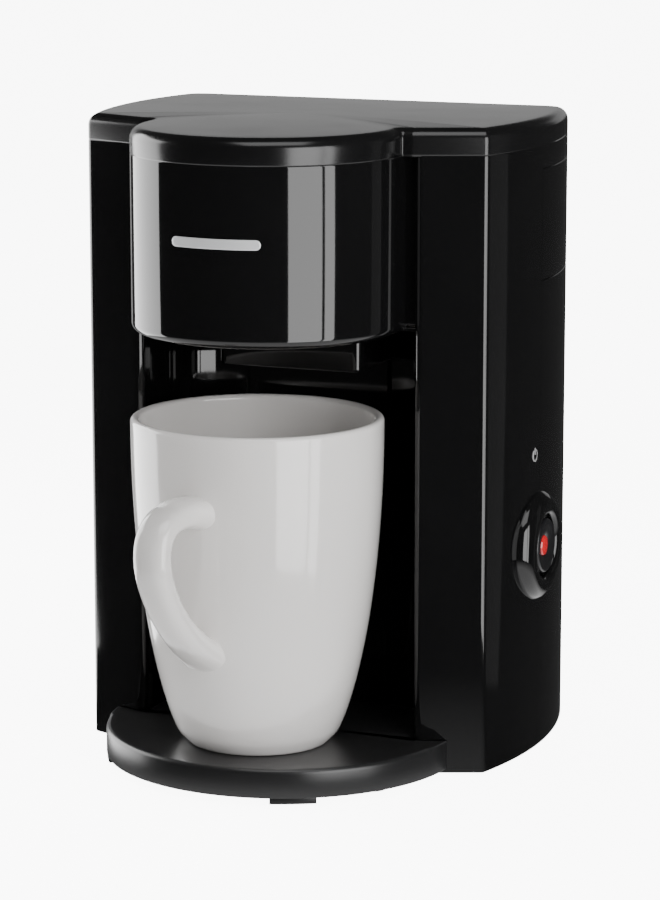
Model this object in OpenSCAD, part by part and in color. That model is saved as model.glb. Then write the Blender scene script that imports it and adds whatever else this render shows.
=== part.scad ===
// One-cup drip coffee maker: a black body with a round brew head over a cup bay, and its mug.
// The origin is on the table, on the brew axis: the upright line that the coffee falls down.
// +X is the side of the power button, -Y is the front and +Z is up. All sizes are in millimetres.

/* [Body] */
// Width across the bulging sides
body_w = 150; // [140:1:150]
// From the brew axis back to the rear wall
body_back = 100; // [84:1:125]
// Height of the body's walls, up to the lid gap
body_top = 201.6; // [185:0.1:245]
// Wall of the moulded shells
wall = 2.4; // [1.8:0.1:3]
// Radius of the bulging sides, seen from above
side_r = 145; // [120:5:240]
// Radius of the two rear edges
rear_edge_r = 8; // [5:0.5:14]
// Radius of the front edges of the wings
wing_edge_r = 2.5; // [1:0.5:3]
// Backward sweep of the wings' front faces, in degrees
wing_sweep = 21.5; // [10:0.5:28]
// Y of the seam between the front housing and the rear covers
seam_y = 50.5; // [49:0.5:56]
// Height of the seam between the two rear covers
rear_seam_z = 157; // [140:1:170]
// Lower edge of the closed band round the top of the housing
band_z = 193.5; // [185:0.5:194]

/* [Brew head] */
// Radius of the round brew head
head_r = 43.5; // [42.5:0.5:46.5]
// Height of the brew head's underside
head_z = 144.5; // [138:0.5:156]
// Radius along the brew head's lower edge
head_edge_r = 3; // [1:0.5:4]

/* [Cup bay] */
// Half width of the cup bay, to the wings' inner edges
bay_half_w = 47; // [46:0.5:52]
// Y of the wings' inner front edges
wing_y = 5; // [2:0.5:8]
// Y of the bay's back wall
bay_back = 45; // [42:0.5:46]
// Radius of the bay's rear corners
bay_corner_r = 22; // [15:1:30]
// Half width of the outlet block under the head
block_half_w = 25; // [18:0.5:30]
// Y of the outlet block's front face
block_y = 17.7; // [14:0.5:22]
// Height of the outlet block's underside
block_z = 128.7; // [125:0.1:134]

/* [Base] */
// Radius of the base plate's front
base_r = 58.5; // [54:0.5:64]
// Y of the centre of the base plate's front arc
base_y = 12.6; // [9:0.1:15]
// Height of the base plate's top, where the mug stands
base_top = 12; // [10:0.5:15]
// Height of the base plate's lower rim
base_rim_z = 2.5; // [2:0.1:3]
// Radius round the base plate's upper edge
base_edge_r = 1.6; // [1:0.1:2]
// Height of the rubber feet under the body
foot_h = 1; // [0.8:0.1:1.5]

/* [Lid] */
// Open gap between the body and the lid
lid_gap = 1.6; // [1:0.1:2.5]
// Height of the lid
lid_h = 7.4; // [7:0.1:10]
// Radius of the lid's rear edge round the hinge
lid_edge_r = 6; // [5.5:0.1:6.5]
// Radius of the lid's other upper edges
lid_rim_r = 3; // [1:0.1:3.5]
// Wall of the lid
lid_wall = 1.5; // [1.2:0.1:1.6]
// Radius of the hinge pins
hinge_pin_r = 1.5; // [1.2:0.1:1.8]

/* [Filter basket] */
// Radius of the basket's flange
basket_flange_r = 37; // [33:0.5:37.5]
// Radius of the basket at its top, under the flange
basket_top_r = 34.6; // [30:0.2:35]
// Radius of the basket at its bottom
basket_low_r = 30; // [24:0.5:31]
// Wall of the basket and the mesh cup's ribs
basket_wall = 1.6; // [1.2:0.1:2]
// Radius of the outlet bore under the basket
outlet_r = 4; // [3:0.1:4.5]

/* [Mug] */
// Radius of the mug's rim
mug_r = 40.5; // [38:0.5:42]
// Height of the mug
mug_h = 106; // [85:1:112]
// Radius of the mug's foot
mug_foot_r = 23.5; // [20:0.5:28]
// Wall of the mug
mug_wall = 3; // [2.4:0.1:4]
// Y of the mug where it stands
mug_y = -9; // [-12:0.5:-6]
// Turn of the handle from straight ahead, in degrees
handle_turn = 8; // [0:1:20]
// How far the handle's middle line stands out from the mug's axis
handle_reach = 63; // [58:0.5:66]
// Width of the handle seen from the front
handle_w = 12.5; // [10:0.5:15]

/* [Power switch] */
// Height of the button's axis
switch_z = 69.5; // [60:0.5:90]
// Outer radius of the switch bezel
bezel_r = 18; // [16:0.5:20]
// How far the bezel stands out of the side
bezel_out = 3.6; // [2:0.2:5]
// Radius of the push button
button_r = 9; // [7:0.2:9.6]
// Open ring between the button and the bezel
button_ring = 1.3; // [0.6:0.1:1.5]
// Travel of the button
button_travel = 2.5; // [1.5:0.1:3]
// Radius of the lamp lens in the button
lens_r = 3.3; // [2.5:0.1:4]

/* [Water system] */
// Outer radius of the heater's water tube
water_tube_r = 4.5; // [4:0.1:5]
// Outer radius of the sheathed heating rod
heater_rod_r = 3.6; // [3:0.1:4]
// Wall of the silicone hoses
hose_wall = 1.5; // [1.2:0.1:1.8]
// Wall of the water tank
tank_wall = 1.8; // [1.4:0.1:2.4]
// Radius of the cable gland's bore
gland_bore_r = 3.5; // [3:0.1:4]

/* [Fits] */
// Radial clearance of a pin that turns in its bore
running_gap = 0.05; // [0.02:0.01:0.08]
// Gap between pieces that move apart
loose_gap = 0.4; // [0.3:0.05:0.5]

/* [Hidden] */
$fn = 96;
e = 0.01; // overlap that keeps cuts clean

// Finishes
gloss_black = "#0b0b0c";
satin_black = "#1b1b1d";
soft_black = "#232325";
steel = "#b9bcc0";
dull_alu = "#9da0a4";
silicone = "#d9d4cc";

// Body outline, seen from above
body_z = foot_h;
side_turn = 15.6; // half of the angle that the sides turn through
side_y = (body_back + 9.2) / 2; // the widest place
side_x = body_w / 2 + side_r * (1 / cos(side_turn) - 1);
side_arc_r = 0.98 * side_r; // the last of the sides' turn is straight, towards the corners
groove_y = wing_y + 5; // floor of the grooves beside the brew head
wing_corner_y = (wing_y + (side_x - side_y * tan(side_turn) - bay_half_w) * tan(wing_sweep))
                / (1 - tan(side_turn) * tan(wing_sweep));
wing_corner_x = side_x - (side_y - wing_corner_y) * tan(side_turn);
rear_corner_x = side_x - (body_back - side_y) * tan(side_turn);
body_half = [[bay_half_w, groove_y, 0.8],
             [bay_half_w, wing_y, wing_edge_r],
             [wing_corner_x, wing_corner_y, wing_edge_r],
             [side_x, side_y, side_arc_r],
             [rear_corner_x, body_back, rear_edge_r]];
bay_half = [[bay_half_w, -body_back, 0], [bay_half_w, bay_back, bay_corner_r]];
wing_back_y = groove_y + wall; // the bay panel starts behind the wings' returns

// Levels
lid_z = body_top + lid_gap;
lid_top = lid_z + lid_h;
deck_h = 2;
deck_top = body_top + 0.4;
deck_z = deck_top - deck_h;

// Lid hinge: its axis is the centre of the lid's rounded rear edge
hinge_y = body_back - lid_edge_r;
hinge_z = lid_top - lid_edge_r;
lid_sweep_r = lid_edge_r + loose_gap; // what the turning rear edge needs
knuckle_r = lid_edge_r - lid_wall - loose_gap;
knuckle_x = 46;
knuckle_w = 8;
ear_w = 4;
trough_z = hinge_z - lid_sweep_r - wall;
ear_reach = 16; // the ears reach forward to stand clear of the rear edge's sweep

// Power switch, on the +X side over the seam. Distances along its axis start at bezel_x
switch_y = seam_y;
bezel_sunk = 1.8; // the bezel's rim is let into the bulging side
bezel_x = side_at(switch_y) - bezel_sunk;
bezel_face = bezel_sunk + bezel_out;
bezel_hole_r = button_r + button_ring;
switch_neck_r = bezel_hole_r + 3.2; // the bezel's neck through the wall
bezel_neck = 14;
button_face = bezel_face - 0.4;
button_back = button_face - 11;
switch_front = button_back - button_travel - loose_gap;
tab_z = 4.5; // the switch's two tabs stand this far above and below its axis
switch_tail = 1; // how far the switch stands in from the bezel's neck
wire_x = bezel_x - bezel_neck - switch_tail - 7;
terminal_x = 6;
terminal_top = body_z + 32;
pole_x = 4;

// Brew chamber and basket
chamber_wall = 2;
chamber_r = basket_flange_r + loose_gap; // bore that the flange drops into
chamber_z = head_z + wall;
basket_z = chamber_z + chamber_wall + loose_gap;
flange_h = 2.2;
flange_z = deck_z - flange_h;
outlet_tip_z = head_z - 5;
outlet_wall = 1.6;

mesh_wall = 0.8;
mesh_top_r = basket_top_r - basket_wall - 0.6;
mesh_low_r = basket_low_r - basket_wall - 2.4;

// Lid
lid_top_t = 1.8;
liner_z = lid_z + 0.2;
shower_r = 24;
channel_w = 10;

// Badge
badge_z = body_top - 24.5;
badge_w = 30;
badge_h = 3.2;

// Mug
mug_z = base_top;
mug_top = mug_z + mug_h;
mug_foot_h = 2.2;
mug_floor = 5;
handle_t = 8.5; // thickness of the handle's strap
handle_top_z = mug_z + 0.765 * mug_h;
handle_low_z = mug_z + 0.33 * mug_h;

// Water system
hose_r = water_tube_r + hose_wall; // the hoses push over the tube's ends
heater_half_w = body_w / 2 - 25;
heater_bend_r = 12;
heater_z = body_z + 17;
elbow_r = 10;
elbow_y = seam_y + 19.5; // where the tube's ends start to turn up
port_y = elbow_y - elbow_r;
bend_y = body_back - wall - heater_bend_r - hose_r - 3; // where the legs start to turn in
stub_z = heater_z + elbow_r + 10; // top of the tube's upright ends
tank_y = seam_y + 2;
tank_back = hinge_y - lid_sweep_r - wall - 0.5;
tank_left = -heater_half_w - hose_r - 2;
tank_right = heater_half_w - hose_r - 1.5;
tank_z = 108;
filler_rim = 4; // how far the deck reaches in over the tank's walls
spray_r = 2.6;
spray_z = deck_top + 3.2;
spray_angle = atan2(port_y, heater_half_w);
spray_end = chamber_r + 2.6; // the arm stops short of the basket's way out
gland_x = -38;
gland_z = 24;
gland_r = 6.6; // hole in the rear cover

// Bottom
cover_t = 2;
cover_z = body_z + 0.6;
screw_r = 1.5;
screw_head_r = 3;
boss_r = 4.5;
boss_h = 10;
cover_bolts = [for (x = [-1, 1]) for (y = [bay_back + 12, body_back - 14])
                  [x * (side_at(y) - wall - boss_r + 0.6), y]];

function unit(v) = v / norm(v);
function flat(p) = [p.x, p.y];
function polar(c, r, a) = c + r * [cos(a), sin(a)];
// Half width of the body at a given Y
function side_at(y) = body_w / 2 - side_r + sqrt(side_r * side_r - pow(y - side_y, 2));
// Mirror a right-hand half outline, front to back, into a whole one
function both_sides(half) =
    concat(half, [for (i = [len(half) - 1:-1:0]) [-half[i].x, half[i].y, half[i].z]]);
// Points that round the corner p = [x, y, radius] between its neighbours a and b
function corner(a, p, b) =
    p.z <= 0 ? [flat(p)] :
    let (u = unit(flat(a) - flat(p)),
         v = unit(flat(b) - flat(p)),
         half = acos(u * v) / 2,
         c = flat(p) + unit(u + v) * p.z / sin(half),
         s = flat(p) + u * p.z / tan(half) - c,
         t = flat(p) + v * p.z / tan(half) - c,
         a0 = atan2(s.y, s.x),
         turn = (atan2(t.y, t.x) - a0 + 540) % 360 - 180,
         n = ceil(abs(turn) / (p.z > 60 ? 2.6 : 9)))
    [for (i = [0:n]) polar(c, p.z, a0 + turn * i / n)];
function rounded(pts) =
    [for (i = [0:len(pts) - 1])
        each corner(pts[(i + len(pts) - 1) % len(pts)], pts[i], pts[(i + 1) % len(pts)])];
// Outer radius of the mug at a fraction t of its height
function mug_at(t) = mug_foot_r + (mug_r - mug_foot_r) * sin(90 * pow(t, 0.68));
// Point of a cubic curve with four control points
function cubic(p, t) = pow(1 - t, 3) * p[0] + 3 * t * pow(1 - t, 2) * p[1]
                       + 3 * t * t * (1 - t) * p[2] + pow(t, 3) * p[3];

// Outlines
module body_outline() polygon(rounded(both_sides(body_half)));
module bay_outline() polygon(rounded(both_sides(bay_half)));
module head_outline(inset = 0) {
    circle(r = head_r - inset);
    translate([inset - head_r, 0]) square([2 * (head_r - inset), groove_y + wing_edge_r]);
}
module top_outline() {
    body_outline();
    head_outline();
}
module band(z0, z1) translate([0, 0, z0]) linear_extrude(z1 - z0) children();
module ring(t) {
    difference() {
        children();
        offset(delta = -t) children();
    }
}
module behind(y) translate([-body_w, y]) square([2 * body_w, 2 * body_back]);
module at_hinge(x) translate([x, hinge_y, hinge_z]) rotate([0, 90, 0]) children();

// ---- Casing ----
module front_housing() color(gloss_black) difference() {
    union() {
        band(body_z, head_z) difference() {
            ring(wall) body_outline();
            bay_outline();
            behind(seam_y);
        }
        band(head_z, band_z + e) difference() {
            ring(wall) top_outline();
            behind(seam_y);
        }
        band(band_z, body_top) ring(wall) top_outline();
        // floor of the brew head, which is also the bay's ceiling
        band(head_z, head_z + wall) intersection() {
            top_outline();
            translate([-bay_half_w - wall, -body_back])
                square([2 * (bay_half_w + wall), body_back + bay_back + wall]);
        }
    }
    // rounded lower edge of the brew head
    difference() {
        translate([0, 0, head_z - e]) cylinder(r = head_r + 1, h = head_edge_r);
        translate([0, 0, head_z + head_edge_r]) rotate_extrude() {
            translate([head_r - head_edge_r, 0]) circle(r = head_edge_r, $fn = 48);
            translate([0, -head_edge_r - 1]) square([head_r - head_edge_r, head_edge_r + 2]);
        }
        translate([-body_w, 0, head_z - 1]) cube([2 * body_w, body_w, head_edge_r + 2]);
    }
    translate([0, 0, head_z - 1]) cylinder(r = outlet_r + outlet_wall + loose_gap, h = wall + 2);
    switch_cut();
    hinge_relief();
}
// The turning rear edge of the lid dips into this space
module hinge_relief() at_hinge(-body_w) cylinder(r = lid_sweep_r, h = 2 * body_w);

module bay_panel() color(gloss_black) union() {
    band(base_rim_z, head_z) intersection() {
        difference() {
            offset(delta = wall) bay_outline();
            bay_outline();
        }
        behind(wing_back_y);
    }
    // raised middle of the back wall, under the outlet block
    band(base_top + 0.2, block_z) translate([-block_half_w, bay_back - 1.6])
        square([2 * block_half_w, 1.6 + e]);
}

module outlet_block() color(satin_black) difference() {
    band(block_z, head_z) polygon(rounded(both_sides(
        [[block_half_w, block_y, 3], [block_half_w, bay_back, 0]])));
    band(block_z + wall, head_z + 1) translate([wall - block_half_w, block_y + wall])
        square([2 * (block_half_w - wall), bay_back - block_y - 2 * wall]);
}

module rear_lower_cover() color(gloss_black) difference() {
    union() {
        band(body_z, rear_seam_z) intersection() {
            ring(wall) body_outline();
            behind(seam_y);
        }
        // bosses for the bottom cover's screws
        intersection() {
            band(cover_z + cover_t, cover_z + cover_t + boss_h) body_outline();
            for (p = cover_bolts) translate([p.x, p.y, 0]) cylinder(r = boss_r, h = 50, $fn = 48);
        }
    }
    switch_cut();
    translate([gland_x, body_back + 5, gland_z]) rotate([90, 0, 0]) cylinder(r = gland_r, h = 15);
    for (p = cover_bolts) translate([p.x, p.y, cover_z]) cylinder(r = screw_r, h = boss_h + 1, $fn = 32);
}

module rear_upper_cover() color(gloss_black) band(rear_seam_z, band_z) intersection() {
    ring(wall) body_outline();
    behind(seam_y);
}

module top_deck() color(satin_black) {
    difference() {
        union() {
            band(deck_z, deck_top) difference() {
                offset(delta = -wall - 0.1) top_outline();
                behind(hinge_y - lid_sweep_r);
            }
            // trough that the lid's rear edge turns into
            band(trough_z, trough_z + wall) intersection() {
                offset(delta = -wall - 0.1) body_outline();
                behind(hinge_y - lid_sweep_r - wall);
            }
            band(trough_z, deck_top) intersection() {
                offset(delta = -wall - 0.1) body_outline();
                translate([-body_w, hinge_y - lid_sweep_r - wall]) square([2 * body_w, wall]);
            }
        }
        translate([0, 0, deck_z - 1]) cylinder(r = chamber_r, h = deck_h + 2);
        // filler opening over the tank
        band(deck_z - 1, deck_top + 1) tank_outline(filler_rim - 0.5);
        translate([heater_half_w, port_y, deck_z - 1]) cylinder(r = water_tube_r, h = deck_h + 2, $fn = 48);
    }
    for (s = [0, 1]) mirror([s, 0, 0]) {
        ear(knuckle_x - ear_w - loose_gap);
        ear(knuckle_x + knuckle_w + loose_gap);
    }
}
module ear(x) difference() {
    union() {
        at_hinge(x) cylinder(r = knuckle_r, h = ear_w);
        translate([x, hinge_y - ear_reach, hinge_z - 3]) cube([ear_w, ear_reach, 3 + knuckle_r]);
        translate([x, hinge_y - ear_reach, deck_top - e])
            cube([ear_w, ear_reach - lid_sweep_r - 1, hinge_z - deck_top]);
    }
    at_hinge(x - 1) cylinder(r = hinge_pin_r, h = ear_w + 2);
    // the ears' forward arms stay under the lid's inner face
    translate([x - 1, hinge_y - ear_reach - 1, hinge_z + 2])
        cube([ear_w + 2, ear_reach - knuckle_r, knuckle_r]);
}

// ---- Base ----
module base_outline(inset = 0) difference() {
    union() {
        intersection() {
            translate([0, base_y]) circle(r = base_r - inset);
            polygon([[-body_w, -body_w], [body_w, -body_w],
                     [body_w, wing_y + (body_w - bay_half_w) * tan(wing_sweep) - 0.05 - inset],
                     [bay_half_w, wing_y - 0.05 - inset], [-bay_half_w, wing_y - 0.05 - inset],
                     [-body_w, wing_y + (body_w - bay_half_w) * tan(wing_sweep) - 0.05 - inset]]);
        }
        intersection() {
            offset(delta = -0.05 - inset) bay_outline();
            translate([-body_w, 0]) square([2 * body_w, body_w]);
        }
    }
}
module base_plate() color(gloss_black) union() {
    difference() {
        union() {
            band(base_rim_z, base_top - base_edge_r) base_outline();
            hull() {
                band(base_top - base_edge_r - e, base_top - base_edge_r) front_disc();
                band(base_top - 0.45, base_top - 0.4) front_disc(0.4);
                band(base_top - e, base_top) front_disc(base_edge_r);
            }
            band(base_top - base_edge_r, base_top) intersection() {
                base_outline();
                translate([-body_w, 0]) square([2 * body_w, body_w]);
            }
        }
        band(base_rim_z - 1, base_top - wall) base_outline(wall);
        // room for the wings beside the plate
        band(base_rim_z - 1, base_top + 1) wing_space();
    }
    for (a = [25, -65]) foot_tab(a);
}
module front_disc(inset = 0) intersection() {
    translate([0, base_y]) circle(r = base_r - inset);
    translate([-body_w, -body_w]) square([2 * body_w, body_w + wing_y - 0.05]);
}
module wing_space() for (s = [0, 1]) mirror([s, 0]) difference() {
    offset(delta = 0.05) body_outline();
    translate([-body_w, -body_w]) square([body_w + bay_half_w - 0.05, 3 * body_w]);
}
// Short moulded foot under the rim, a degrees round from the front
module foot_tab(a) translate([0, base_y, 0]) rotate(a - 90) intersection() {
    difference() {
        translate([0, 0, 0.6]) cylinder(r = base_r - 0.3, h = base_rim_z);
        cylinder(r = base_r - 4, h = 20);
    }
    translate([0, -7.5, 0]) cube([base_r + 5, 15, 10]);
}

module bottom_cover() color(satin_black) difference() {
    band(cover_z, cover_z + cover_t) intersection() {
        offset(delta = -wall - 0.15) body_outline();
        behind(bay_back + wall + 0.15);
    }
    for (i = [-4:4]) translate([i * 9 - 1.5, bay_back + 14, 0]) cube([3, 24, 10]);
    for (p = cover_bolts) translate([p.x, p.y, 0]) cylinder(r = screw_r, h = 10, $fn = 32);
}

module rubber_feet() color(soft_black) {
    for (p = cover_bolts) translate([p.x * 0.8, p.y, 0]) cylinder(r = 5.5, h = cover_z, $fn = 48);
    for (s = [-1, 1]) translate([s * 40, base_y - 24, 0])
        cylinder(r = 5, h = base_top - wall, $fn = 48);
}

module cover_screws() color(steel) for (p = cover_bolts) translate([p.x, p.y, cover_z]) {
    difference() {
        translate([0, 0, -0.5]) cylinder(r = screw_head_r, h = 0.5, $fn = 32);
        for (a = [0, 90]) rotate(a) translate([-1.6, -0.35, -0.6]) cube([3.2, 0.7, 0.35]);
    }
    translate([0, 0, -e]) cylinder(r = screw_r, h = 9, $fn = 32);
}

// ---- Water system ----
module tank_outline(inset = 0) {
    r = 4 - inset;
    polygon(rounded([[tank_left + inset, tank_y + inset, r], [tank_right - inset, tank_y + inset, r],
                     [tank_right - inset, tank_back - inset, r],
                     [tank_left + inset, tank_back - inset, r]]));
}
module water_tank() color(soft_black) difference() {
    union() {
        band(tank_z, deck_z) tank_outline();
        translate([-heater_half_w, port_y, tank_z - 6])
            cylinder(r = water_tube_r, h = 7, $fn = 48);
    }
    band(tank_z + tank_wall, deck_z + 1) tank_outline(tank_wall);
    translate([-heater_half_w, port_y, tank_z - 7])
        cylinder(r = water_tube_r - 1.2, h = 12, $fn = 48);
}

module brew_chamber() color(satin_black) rotate_extrude() difference() {
    union() {
        translate([0, chamber_z]) square([chamber_r + chamber_wall, deck_z - chamber_z]);
        translate([0, outlet_tip_z]) square([outlet_r + outlet_wall, chamber_z - outlet_tip_z + 1]);
    }
    translate([0, outlet_tip_z - 1]) square([outlet_r, chamber_z - outlet_tip_z + 20]);
    translate([0, chamber_z + chamber_wall]) square([basket_top_r + 1, deck_z - chamber_z]);
    translate([0, flange_z - loose_gap]) square([chamber_r, flange_h + 2]);
}

// A round tube bent into a U that lies flat and opens towards the front. A bore of 0 makes a bar
module tube_section(r, bore) difference() {
    circle(r = r, $fn = 48);
    if (bore > 0) circle(r = bore, $fn = 48);
}
module bent_u(r, bore, y0) {
    for (s = [0, 1]) mirror([s, 0, 0]) {
        translate([heater_half_w, bend_y, 0]) rotate([90, 0, 0])
            linear_extrude(bend_y - y0) tube_section(r, bore);
        translate([heater_half_w - heater_bend_r, bend_y, 0]) rotate_extrude(angle = 90)
            translate([heater_bend_r, 0]) tube_section(r, bore);
    }
    translate([heater_bend_r - heater_half_w, bend_y + heater_bend_r, 0]) rotate([90, 0, 90])
        linear_extrude(2 * (heater_half_w - heater_bend_r)) tube_section(r, bore);
}
module water_tube() color(dull_alu) translate([0, 0, heater_z]) {
    bent_u(water_tube_r, water_tube_r - 1, elbow_y);
    for (s = [0, 1]) mirror([s, 0, 0]) {
        translate([heater_half_w, elbow_y, elbow_r]) rotate([90, 0, 90]) rotate(180)
            rotate_extrude(angle = 90) translate([elbow_r, 0])
                tube_section(water_tube_r, water_tube_r - 1);
        translate([heater_half_w, port_y, elbow_r])
            linear_extrude(stub_z - heater_z - elbow_r) tube_section(water_tube_r, water_tube_r - 1);
    }
}
module heating_rod() color(steel) translate([0, 0, heater_z - water_tube_r - heater_rod_r])
    bent_u(heater_rod_r, 0, elbow_y - 6);

// Strap over the middle of the heater, with the thermostat on it
module heater_clamp() color(steel) difference() {
    translate([-8, bend_y + heater_bend_r - 8, heater_z + water_tube_r]) cube([16, 16, 1.2]);
    translate([0, bend_y + heater_bend_r, heater_z]) cylinder(r = 1.6, h = 20, $fn = 32);
}
module thermostat() color(steel)
    translate([0, bend_y + heater_bend_r, heater_z + water_tube_r + 1.2]) {
        cylinder(r = 7, h = 5, $fn = 64);
        translate([0, 0, 5]) cylinder(r = 4, h = 2, $fn = 48);
        for (s = [0, 1]) mirror([s, 0, 0]) translate([6, -2, 3]) cube([6, 4, 0.8]);
    }
module thermal_fuse() color(silicone)
    translate([heater_half_w - 26, bend_y + heater_bend_r - 7, heater_z + water_tube_r + 2.4])
        rotate([0, 90, 0]) cylinder(r = 2.4, h = 14, center = true, $fn = 32);

module hose(x, top) translate([x, port_y, 0]) difference() {
    translate([0, 0, stub_z - 8]) cylinder(r = hose_r, h = top - stub_z + 8, $fn = 48);
    translate([0, 0, stub_z - 9]) cylinder(r = water_tube_r, h = top - stub_z + 10, $fn = 48);
}
module inlet_hose() color(silicone) hose(-heater_half_w, tank_z);
module riser_hose() color(silicone) hose(heater_half_w, deck_z - 2);

module hose_clips() color(steel)
    for (p = [[-1, stub_z - 5], [-1, tank_z - 5], [1, stub_z - 5], [1, deck_z - 10]])
        translate([p.x * heater_half_w, port_y, p.y]) difference() {
            union() {
                cylinder(r = hose_r + 0.8, h = 3, $fn = 48);
                translate([-3, -hose_r - 3.4, 0]) cube([6, 5, 3]);
            }
            translate([0, 0, -1]) cylinder(r = hose_r, h = 5, $fn = 48);
            translate([-1, -hose_r - 4, -1]) cube([2, 6, 5]);
        }

// Ball valve that keeps boiling water from going back to the tank
module check_valve() color("white") translate([-heater_half_w, port_y, stub_z + 1]) {
    difference() {
        cylinder(r = water_tube_r, h = 12, $fn = 48);
        translate([0, 0, -1]) cylinder(r = 1.6, h = 14, $fn = 32);
        translate([0, 0, 3]) cylinder(r = 3, h = 10, $fn = 32);
    }
    translate([0, 0, 5.3]) sphere(r = 2.4, $fn = 32);
}

// Arm on the deck that throws the hot water into the lid's channel
module spray_nozzle() color(satin_black) difference() {
    union() {
        translate([heater_half_w, port_y, deck_z - 12])
            cylinder(r = water_tube_r, h = 12 + deck_h, $fn = 48);
        translate([heater_half_w, port_y, deck_top]) cylinder(r = hose_r + 1.5, h = 1.6, $fn = 48);
        translate([heater_half_w, port_y, deck_top]) cylinder(r = 4.2, h = 6, $fn = 48);
        spray_way(spray_r, 0);
    }
    translate([heater_half_w, port_y, deck_z - 13]) cylinder(r = 3, h = 16 + deck_h, $fn = 48);
    spray_way(spray_r - 0.9, 1);
}
module spray_way(r, extra) {
    reach = norm([heater_half_w, port_y]);
    rotate(spray_angle) translate([spray_end - extra, 0, spray_z]) rotate([0, 90, 0])
        cylinder(r = r, h = reach - spray_end + extra, $fn = 48);
}

// ---- Power switch ----
// Everything here is turned about the button's axis, which points out of the side
module at_button() translate([bezel_x, switch_y, switch_z]) rotate([0, 90, 0]) children();
module switch_cut() {
    at_button() translate([0, 0, -20]) cylinder(r = switch_neck_r + 0.2, h = 40);
    at_button() cylinder(r = bezel_r + 0.2, h = 20);
}
module switch_bezel() color(gloss_black) at_button() rotate_extrude() difference() {
    polygon([[bezel_hole_r, -bezel_neck], [switch_neck_r, -bezel_neck], [switch_neck_r, 0],
             [bezel_r, 0], [bezel_r, bezel_sunk + 0.4], [bezel_r - 2.6, bezel_face - 0.4],
             [bezel_r - 3.2, bezel_face], [bezel_hole_r + 0.5, bezel_face],
             [bezel_hole_r, bezel_face - 0.5]]);
}
module switch_body() color(satin_black) at_button() translate([0, 0, -bezel_neck - switch_tail]) {
    cylinder(r = bezel_hole_r - 0.1, h = switch_tail + bezel_neck + switch_front);
    for (s = [-1, 1]) translate([s * tab_z - 0.4, -3, -7]) cube([0.8, 6, 7.5]);
}
module power_button() color(satin_black) at_button() rotate_extrude() difference() {
    polygon([[0, button_back], [button_r, button_back], [button_r, button_face - 0.8],
             [button_r - 0.8, button_face - 0.1], [lens_r + 2, button_face - 0.1],
             [lens_r + 1, button_face - 0.7], [0, button_face - 0.7]]);
    translate([0, button_back - 1]) square([6, 6]);
    translate([0, button_face - 2.5]) square([lens_r + 0.05, 4]);
}
module lamp_lens() color("#c8141c") at_button() translate([0, 0, button_face - 2.5]) rotate_extrude()
    intersection() {
        square([lens_r, 2.4]);
        translate([0, 2.4 - 3 * lens_r]) circle(r = 3 * lens_r);
    }
// The spring is as short as the pressed button leaves it
module button_spring() color(steel) at_button()
    coil(4.2, 0.45, switch_front + 0.45, button_back + 5 - 0.45 - button_travel - loose_gap, 4);
// Round wire of radius w coiled at radius r from z0 to z1
module coil(r, w, z0, z1, turns) {
    sides = 8;
    steps = turns * 20;
    pts = [for (i = [0:steps]) for (k = [0:sides - 1])
        let (a = 360 * turns * i / steps, b = 360 * k / sides)
        [(r + w * cos(b)) * cos(a), (r + w * cos(b)) * sin(a),
         z0 + (z1 - z0) * i / steps + w * sin(b)]];
    polyhedron(points = pts, faces = tube_faces(steps, sides));
}
// Faces of a closed tube of rings, wound outwards
function tube_faces(steps, sides) = concat(
    [[for (k = [0:sides - 1]) k]],
    [for (i = [0:steps - 1]) for (k = [0:sides - 1])
        [i * sides + k, (i + 1) * sides + k, (i + 1) * sides + (k + 1) % sides,
         i * sides + (k + 1) % sides]],
    [[for (k = [sides - 1:-1:0]) steps * sides + k]]);

module switch_wires() color("#7a1f1f") for (s = [-1, 1])
    wire([[wire_x, switch_z - s * tab_z], [wire_x - 20 + 4 * s, switch_z - s * tab_z],
          [terminal_x + s * pole_x, body_z + 62], [terminal_x + s * pole_x, terminal_top]], 1);
// Round wire of radius r along a cubic curve p that lies across the body, at y = switch_y
module wire(p, r) {
    sides = 12;
    steps = 24;
    pts = [for (i = [0:steps]) let (
                c = cubic(p, i / steps),
                d = unit(cubic(p, min(i / steps + 0.01, 1)) - cubic(p, max(i / steps - 0.01, 0))))
            for (k = [0:sides - 1]) let (b = 360 * k / sides)
            [c.x - d.y * r * sin(b), switch_y + r * cos(b), c.y + d.x * r * sin(b)]];
    polyhedron(points = pts, faces = tube_faces(steps, sides));
}
module terminal_block() color("ivory") difference() {
    translate([terminal_x - 9, switch_y - 2.8, terminal_top - 12]) cube([18, 8, 12]);
    for (s = [-1, 1]) translate([terminal_x + s * pole_x, switch_y, terminal_top - 13])
        cylinder(r = 1.2, h = 14, $fn = 32);
}
module cord_gland() color(soft_black) translate([gland_x, body_back, gland_z]) rotate([-90, 0, 0])
    rotate_extrude() difference() {
        union() {
            translate([0, -wall - 4]) square([gland_r - 0.2, wall + 6]);
            square([gland_r + 2.4, 1.8]);
            translate([0, -wall - 2]) square([gland_r + 1.6, 2]);
        }
        translate([0, -20]) square([gland_bore_r, 40]);
    }

// Plain bar on the brew head, where a name plate would be
module badge() color("#c4c7ca") intersection() {
    difference() {
        translate([0, 0, badge_z - 5]) cylinder(r = head_r + 0.5, h = 10);
        translate([0, 0, badge_z - 6]) cylinder(r = head_r, h = 12);
    }
    translate([0, 0, badge_z]) rotate([90, 0, 0]) linear_extrude(head_r + 5)
        polygon(rounded([for (c = [[-1, -1], [1, -1], [1, 1], [-1, 1]])
            [c.x * badge_w / 2, c.y * badge_h / 2, badge_h / 2 - 0.05]]));
}

// ---- Lid ----
module hinge_pins() color(steel) for (s = [0, 1]) mirror([s, 0, 0])
    at_hinge(knuckle_x - ear_w - loose_gap)
        cylinder(r = hinge_pin_r, h = knuckle_w + 2 * (ear_w + loose_gap), $fn = 48);

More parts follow.
